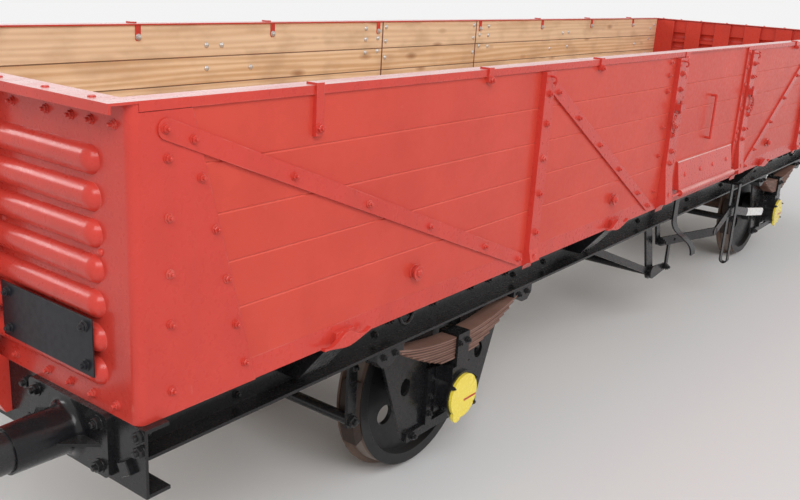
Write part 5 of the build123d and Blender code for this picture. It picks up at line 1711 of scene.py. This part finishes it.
@dataclass
class FrameFittings:
    """The bolts and rings of the underframe.

    Attributes:
        head_nuts: The (across, height) of each nut on a headstock.
        head_bolt: The (across, height) of the large bolt beside each buffer.
        head_turn: That bolt's turn about its axis.
        base_bolts: How far the buffer base's bolts are from the buffer's line, and their heights.
        base_thickness: The buffer base's thickness.
        hook_bolts: The (across, height) of the draw hook plate's bolts.
        hook_plate: That plate's thickness.
        bracket_places: The x of the curb brackets.
        bracket_shift: Half the distance between a bracket's bolts.
        bracket_bolt: How far out those bolts are, and their height.
        bracket_lean: How much they point up, and down where it is negative.
        web_places: The x of the bolt pairs in the solebars.
        web_heights: Their heights.
        iron_shifts: How far from each axle the W-iron's bolts are.
        iron_height: Their height.
        ring_place: The x of the tie rings.
        ring_height: The height of their legs.
        ring_half: Half their width.
        ring_drop: How far their bend starts under their legs, and how far it hangs from there.
        ring_bar: Their bar's radius.
    """

    head_nuts: tuple[Spot, ...] = ((1.205, 1.070), (1.205, 1.020), (0.610, 1.050), (0.610, 0.910))
    head_bolt: Spot = (1.144, 0.945)
    head_turn: float = 0.5
    base_bolts: tuple[float, Spot] = (0.165, (0.912, 1.060))
    base_thickness: float = 0.022
    hook_bolts: tuple[Spot, ...] = ((0.085, 0.935), (0.085, 1.035))
    hook_plate: float = 0.020
    bracket_places: Spot = (1.386, 3.737)
    bracket_shift: float = 0.035
    bracket_bolt: Spot = (1.060, 0.985)
    bracket_lean: float = -0.4
    web_places: tuple[float, ...] = (0.45, 1.20, 1.75, 2.08, 3.25, 4.05, 4.45)
    web_heights: Spot = (1.045, 0.915)
    iron_shifts: tuple[float, ...] = (-0.49, -0.33, -0.16, 0.16, 0.33, 0.49)
    iron_height: float = 0.955
    ring_place: float = 3.100
    ring_height: float = 1.035
    ring_half: float = 0.055
    ring_drop: Spot = (0.02, 0.075)
    ring_bar: float = 0.009

    def head_bolts(self, piece: Piece, end: int, side: int) -> None:
        """Adds the bolts of one half of a headstock.

        Args:
            piece: The piece that they go into.
            end: -1 for the front end, 1 for the rear.
            side: -1 for the left side, 1 for the right.
        """
        reach, heights = self.base_bolts
        across, height = self.head_bolt
        base = [(BUFFER_OFFSET + shift, high) for shift in (-reach, reach) for high in heights]
        for nuts, out in (
            (self.head_nuts, 0.0),
            (base, self.base_thickness),
            (self.hook_bolts, self.hook_plate),
        ):
            for place, high in nuts:
                piece.on_end(NUT, end, (side * place, high), BODY_HALF + out)
        piece.on_end(SQUARE_HEAD, end, (side * across, height), BODY_HALF, self.head_turn)

    def bolts(self) -> Piece:
        """Makes the bolts of the solebars, headstocks, brackets and buffers.

        Returns:
            The piece.
        """
        piece = Piece("frame_bolts", WAGON, "frame_black")
        out, height = self.bracket_bolt
        for end, side in QUARTERS:
            self.head_bolts(piece, end, side)
            for place in self.bracket_places:
                for shift in (-self.bracket_shift, self.bracket_shift):
                    spot = (end * place + shift, height)
                    piece.on_side(SMALL_NUT, side, spot, out, lean=self.bracket_lean)
            for place in self.web_places:
                for rise in self.web_heights:
                    piece.on_side(SMALL_NUT, side, (end * place, rise), SOLEBAR_FACE)
            for shift in self.iron_shifts:
                spot = (end * WHEEL_PLACE + shift, self.iron_height)
                piece.on_side(NUT, side, spot, SOLEBAR_FACE)
        return piece

    def rings(self) -> Piece:
        """Makes the bent bars on the solebars that ropes and chains tie to.

        Returns:
            The piece.
        """
        piece = Piece("tie_rings", WAGON, "frame_black")
        top, half = level(self.ring_height), self.ring_half
        start, hang = self.ring_drop
        for end, side in QUARTERS:
            x = end * self.ring_place
            root, out = side * SOLEBAR_FACE, side * (SOLEBAR_FACE + half)
            path = [Vector((x - half, root, top)), Vector((x - half, out, top))]
            for angle in half_turn(10):
                along, drop = half * math.cos(angle), start + hang * math.sin(angle)
                path.append(Vector((x - along, out, top - drop)))
            path += [Vector((x + half, out, top)), Vector((x + half, root, top))]
            piece.tube(path, self.ring_bar)
        return piece

    def pieces(self) -> list[Piece]:
        """Gives the underframe's pieces."""
        return [self.bolts(), self.rings()]


@dataclass
class GearFittings:
    """The bolts and marks of the springs, W-irons and axleboxes.

    Attributes:
        guide_place: How far from the axle each horn guide's bolts are.
        guide_heights: Their heights.
        guide_face: How far out the guides' faces are.
        tie_bolt: The (place from the axle, height) of the tie bar's bolts.
        tie_face: How far out its face is.
        shoe_places: How far from the axle the spring shoes' bolts are.
        shoe_height: Their height.
        shoe_face: How far out they are.
        buckle_bolt: The (place from the axle, height) of the spring buckle's bolts.
        buckle_face: How far out the buckle's face is.
        cover_angles: Where the cover's nuts are round it, in degrees.
        cover_ring: How far from the axle they are.
        cover_flange: How far out they are.
        cover_face: How far out the cover's face is.
        stripe_drop: How far below the axle the cover's stripe is.
        stripe_reach: How long it is.
        stripe_half: Half its width.
        stripe_thickness: Its thickness.
    """

    guide_place: float = 0.1415
    guide_heights: tuple[float, ...] = (0.375, 0.470, 0.565)
    guide_face: float = 0.986
    tie_bolt: Spot = (0.255, 0.297)
    tie_face: float = 0.976
    shoe_places: Spot = (0.53, 0.61)
    shoe_height: float = 0.838
    shoe_face: float = SOLEBAR_LIP + 0.0005
    buckle_bolt: Spot = (0.034, 0.735)
    buckle_face: float = 1.0645
    cover_angles: tuple[int, ...] = (35, 145, 325)
    cover_ring: float = 0.116
    cover_flange: float = 1.076
    cover_face: float = 1.0919
    stripe_drop: float = 0.024
    stripe_reach: float = 0.104
    stripe_half: float = 0.0055
    stripe_thickness: float = 0.0008

    def bolts(self) -> Piece:
        """Makes the bolts of the W-irons, horn guides, springs and axleboxes.

        Returns:
            The piece.
        """
        piece = Piece("gear_bolts", WAGON, "frame_black")
        nuts = [(SMALL_NUT, (self.guide_place, h), self.guide_face) for h in self.guide_heights]
        nuts.append((NUT, self.tie_bolt, self.tie_face))
        shoes = [(place, self.shoe_height) for place in self.shoe_places]
        nuts += [(SMALL_NUT, spot, self.shoe_face) for spot in shoes]
        nuts.append((SMALL_NUT, self.buckle_bolt, self.buckle_face))
        for end, side in QUARTERS:
            axle = end * WHEEL_PLACE
            for hand in ENDS:
                for fastener, (place, height), out in nuts:
                    piece.on_side(fastener, side, (axle + hand * place, height), out)
            for turn in map(math.radians, self.cover_angles):
                x = axle + self.cover_ring * math.cos(turn)
                height = AXLE_HEIGHT + self.cover_ring * math.sin(turn)
                piece.on_side(COVER_NUT, side, (x, height), self.cover_flange)
        return piece

    def stripes(self) -> Piece:
        """Makes the painted stripe on each axlebox cover.

        Returns:
            The piece.
        """
        piece = Piece("cover_marks", WAGON, "signal_red")
        reach, half, thickness = self.stripe_reach, self.stripe_half, self.stripe_thickness
        outline = [(0.0, -half), (reach, -half), (reach, half), (0.0, half), (-half, 0.0)]
        height = level(AXLE_HEIGHT - self.stripe_drop)
        for end, side in QUARTERS:
            face = side * self.cover_face + (thickness if side > 0 else 0.0)
            piece.plate(upright((end * WHEEL_PLACE, face, height)), outline, thickness)
        return piece

    def pieces(self) -> list[Piece]:
        """Gives the running gear's pieces."""
        return [self.bolts(), self.stripes()]


@dataclass
class BrakeFittings:
    """The pins and nuts of the brake gear.

    Attributes:
        hanger_place: How far from the axle the hangers are.
        hanger_face: How far out their faces are.
        hanger_heights: The heights of their lower and upper pins.
        pivot: The (x, height) of the lever's pin on the left side.
        pivot_face: How far out that pin's nut is.
        link: The (x, height) of the link's lower pin on the left side.
        link_face: How far out the link's face is.
    """

    hanger_place: float = 0.540
    hanger_face: float = 0.827
    hanger_heights: Spot = (0.431, 0.700)
    pivot: Spot = (-0.020, 0.687)
    pivot_face: float = 1.007
    link: Spot = (0.140, SHAFT_HEIGHT)
    link_face: float = 1.001

    def pieces(self) -> list[Piece]:
        """Makes the pins and nuts.

        Returns:
            The one piece that they form.
        """
        piece = Piece("brake_pins", WAGON, "frame_black")
        lower, upper = self.hanger_heights
        for end, side in QUARTERS:
            for hand in ENDS:
                x = end * WHEEL_PLACE + hand * self.hanger_place
                piece.on_side(BIG_NUT, side, (x, lower), self.hanger_face)
                piece.on_side(NUT, side, (x, upper), self.hanger_face)
        for side in ENDS:
            for (x, height), out in ((self.pivot, self.pivot_face), (self.link, self.link_face)):
                piece.on_side(NUT, side, (-side * x, height), out)
        return [piece]


# The studio


@dataclass(frozen=True)
class Lamp:
    """A soft light.

    Attributes:
        name: Its name.
        place: Where it is.
        size: Its width and height.
        power: Its power in watts.
    """

    name: str
    place: Point
    size: Spot
    power: float


@dataclass(frozen=True)
class Shot:
    """The photograph's viewpoint.

    Attributes:
        place: Where the camera is.
        yaw: Its heading from +X towards +Y, in radians.
        pitch: Its tilt upward.
        roll: Its turn about its view axis.
        lens: Its focal length for a 36 mm wide sensor.
    """

    place: Point
    yaw: float
    pitch: float
    roll: float
    lens: float


def grey(tone: float) -> tuple[float, float, float, float]:
    """Gives a neutral colour of a brightness."""
    return (tone, tone, tone, 1.0)


@dataclass
class Studio:
    """The floor, the lights, the pale surroundings and the camera.

    Attributes:
        lamps: The lights.
        target: What they point at.
        shot: The camera's viewpoint.
        sensor: The camera's sensor width in millimetres.
        sight: How far the camera sees.
        floor_half: Half the floor's width.
        floor_tone: The floor's brightness.
        floor_roughness: Its roughness.
        seen_tone: The surroundings' brightness in the picture.
        world_strength: How much light the surroundings give.
        fade: Where the floor starts and ends to turn into the surroundings.
    """

    lamps: tuple[Lamp, ...] = (
        Lamp("key", (-9.0, -9.0, 10.0), (9.0, 6.0), 1050.0),
        Lamp("fill", (8.0, -10.0, 7.0), (9.0, 5.0), 270.0),
        Lamp("back", (2.0, 12.0, 9.0), (12.0, 5.0), 330.0),
        Lamp("sheen", (-8.5, 11.0, 7.0), (7.0, 3.0), 430.0),
    )
    target: Point = (0.0, 0.0, 1.0)
    shot: Shot = Shot((-6.1253, -3.2071, 2.4544), 0.637, -0.299, 0.060, 40.83)
    sensor: float = 36.0
    sight: float = 200.0
    floor_half: float = 60.0
    floor_tone: float = 0.80
    floor_roughness: float = 0.9
    seen_tone: float = 0.90
    world_strength: float = 0.52
    fade: Spot = (7.5, 19.0)

    def add_lamp(self, lamp: Lamp) -> None:
        """Adds a light.

        Args:
            lamp: The light.
        """
        data = bpy.data.lights.new(lamp.name, "AREA")
        data.shape = "RECTANGLE"
        data.size, data.size_y = lamp.size
        data.energy = lamp.power
        aim = Vector(self.target) - Vector(lamp.place)
        made = add_object(lamp.name, data)
        made.location = lamp.place
        made.rotation_euler = aim.to_track_quat("-Z", "Y").to_euler()

    def add_camera(self) -> None:
        """Adds the camera at the photograph's viewpoint."""
        shot = self.shot
        tilt = math.cos(shot.pitch)
        heading = math.cos(shot.yaw), math.sin(shot.yaw)
        forward = Vector((tilt * heading[0], tilt * heading[1], math.sin(shot.pitch)))
        flat = Vector((heading[1], -heading[0], 0.0))
        above = flat.cross(forward)
        right = flat * math.cos(shot.roll) + above * math.sin(shot.roll)
        upward = above * math.cos(shot.roll) - flat * math.sin(shot.roll)
        turned = Matrix((right, upward, -forward)).transposed().to_4x4()
        data = bpy.data.cameras.new("camera")
        data.lens = shot.lens
        data.sensor_width = self.sensor
        data.clip_end = self.sight
        made = add_object("camera", data)
        made.matrix_world = Matrix.Translation(shot.place) @ turned
        bpy.context.scene.camera = made

    def shown(self, wire: Wiring) -> Socket:
        """Tells the rays that see the surroundings from those that light the wagon.

        Args:
            wire: The material's or world's wiring.

        Returns:
            1 for what the camera sees, directly, mirrored or through glass, and else 0.
        """
        path = wire.node("LightPath").outputs
        straight = wire.math("MAXIMUM", path["Is Camera Ray"], path["Is Glossy Ray"])
        return wire.math("MAXIMUM", straight, path["Is Transmission Ray"])

    def add_world(self) -> None:
        """Adds the surroundings, which the camera sees paler than they light."""
        world = bpy.data.worlds.new("studio")
        bpy.context.scene.world = world
        world.use_nodes = True
        wire = Wiring(world.node_tree)
        wire.tree.nodes.clear()
        lit = {"Color": grey(1.0), "Strength": self.world_strength}
        light = wire.node("Background", lit).outputs[0]
        seen = wire.node("Background", {"Color": grey(self.seen_tone), "Strength": 1.0}).outputs[0]
        mix = wire.node("MixShader", {0: self.shown(wire), 1: light, 2: seen}).outputs[0]
        wire.node("OutputWorld", {"Surface": mix})

    def add_floor(self) -> None:
        """Adds the floor, which turns into the surroundings far from the wagon."""
        plane = bmesh.new()
        half = self.floor_half
        for x, y in ((-half, -half), (half, -half), (half, half), (-half, half)):
            plane.verts.new((x, y, 0.0))
        plane.faces.new(plane.verts)
        data = bpy.data.meshes.new("floor")
        plane.to_mesh(data)
        plane.free()
        floor = add_object("floor", data)
        material = bpy.data.materials.new("floor")
        material.use_nodes = True
        wire = Wiring(material.node_tree)
        shader = find_node(wire.tree, "BSDF_PRINCIPLED")
        wire.put(shader.inputs["Base Color"], grey(self.floor_tone))
        wire.put(shader.inputs["Roughness"], self.floor_roughness)
        place = wire.node("TexCoord").outputs["Object"]
        distance = wire.node("VectorMath", {0: place}, operation="LENGTH").outputs["Value"]
        far = wire.both(wire.span(distance, *self.fade), self.shown(wire))
        pale = wire.node("Emission", {"Color": grey(self.seen_tone)}).outputs[0]
        mix = wire.node("MixShader", {0: far, 1: shader.outputs[0], 2: pale}).outputs[0]
        wire.put(find_node(wire.tree, "OUTPUT_MATERIAL").inputs["Surface"], mix)
        data.materials.append(material)

    def build(self) -> None:
        """Sets up the whole studio."""
        bpy.context.scene.view_settings.view_transform = "Standard"
        self.add_world()
        self.add_floor()
        for lamp in self.lamps:
            self.add_lamp(lamp)
        self.add_camera()


def paint_nodes(frame: dict, maker: MaterialMaker) -> None:
    """Gives each CAD node its slot's material.

    Args:
        maker: The maker of materials.
    """
    for part in frame["record"]["subparts"]:
        node = frame["nodes"][part["node"]]
        node.data.materials.clear()
        node.data.materials.append(maker.get(part["material_slot"]))
        LOG.info("%s: %s", part["node"], part["material_slot"])


def main() -> None:
    """Builds the scene."""
    logging.basicConfig(level=logging.INFO, format="%(message)s")
    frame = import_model()
    maker = MaterialMaker()
    paint_nodes(frame, maker)
    slots = {entry["slot"] for entry in frame["record"]["materials"]}
    assemblies = [SideFittings(side) for side in ENDS]
    assemblies += [DoorFittings(side) for side in ENDS]
    assemblies += [EndFittings(end) for end in ENDS]
    assemblies += [FrameFittings(), GearFittings(), BrakeFittings()]
    for assembly in assemblies:
        for piece in assembly.pieces():
            piece.finish_up(maker, slots)
    Studio().build()


if __name__ == "__main__":
    main()
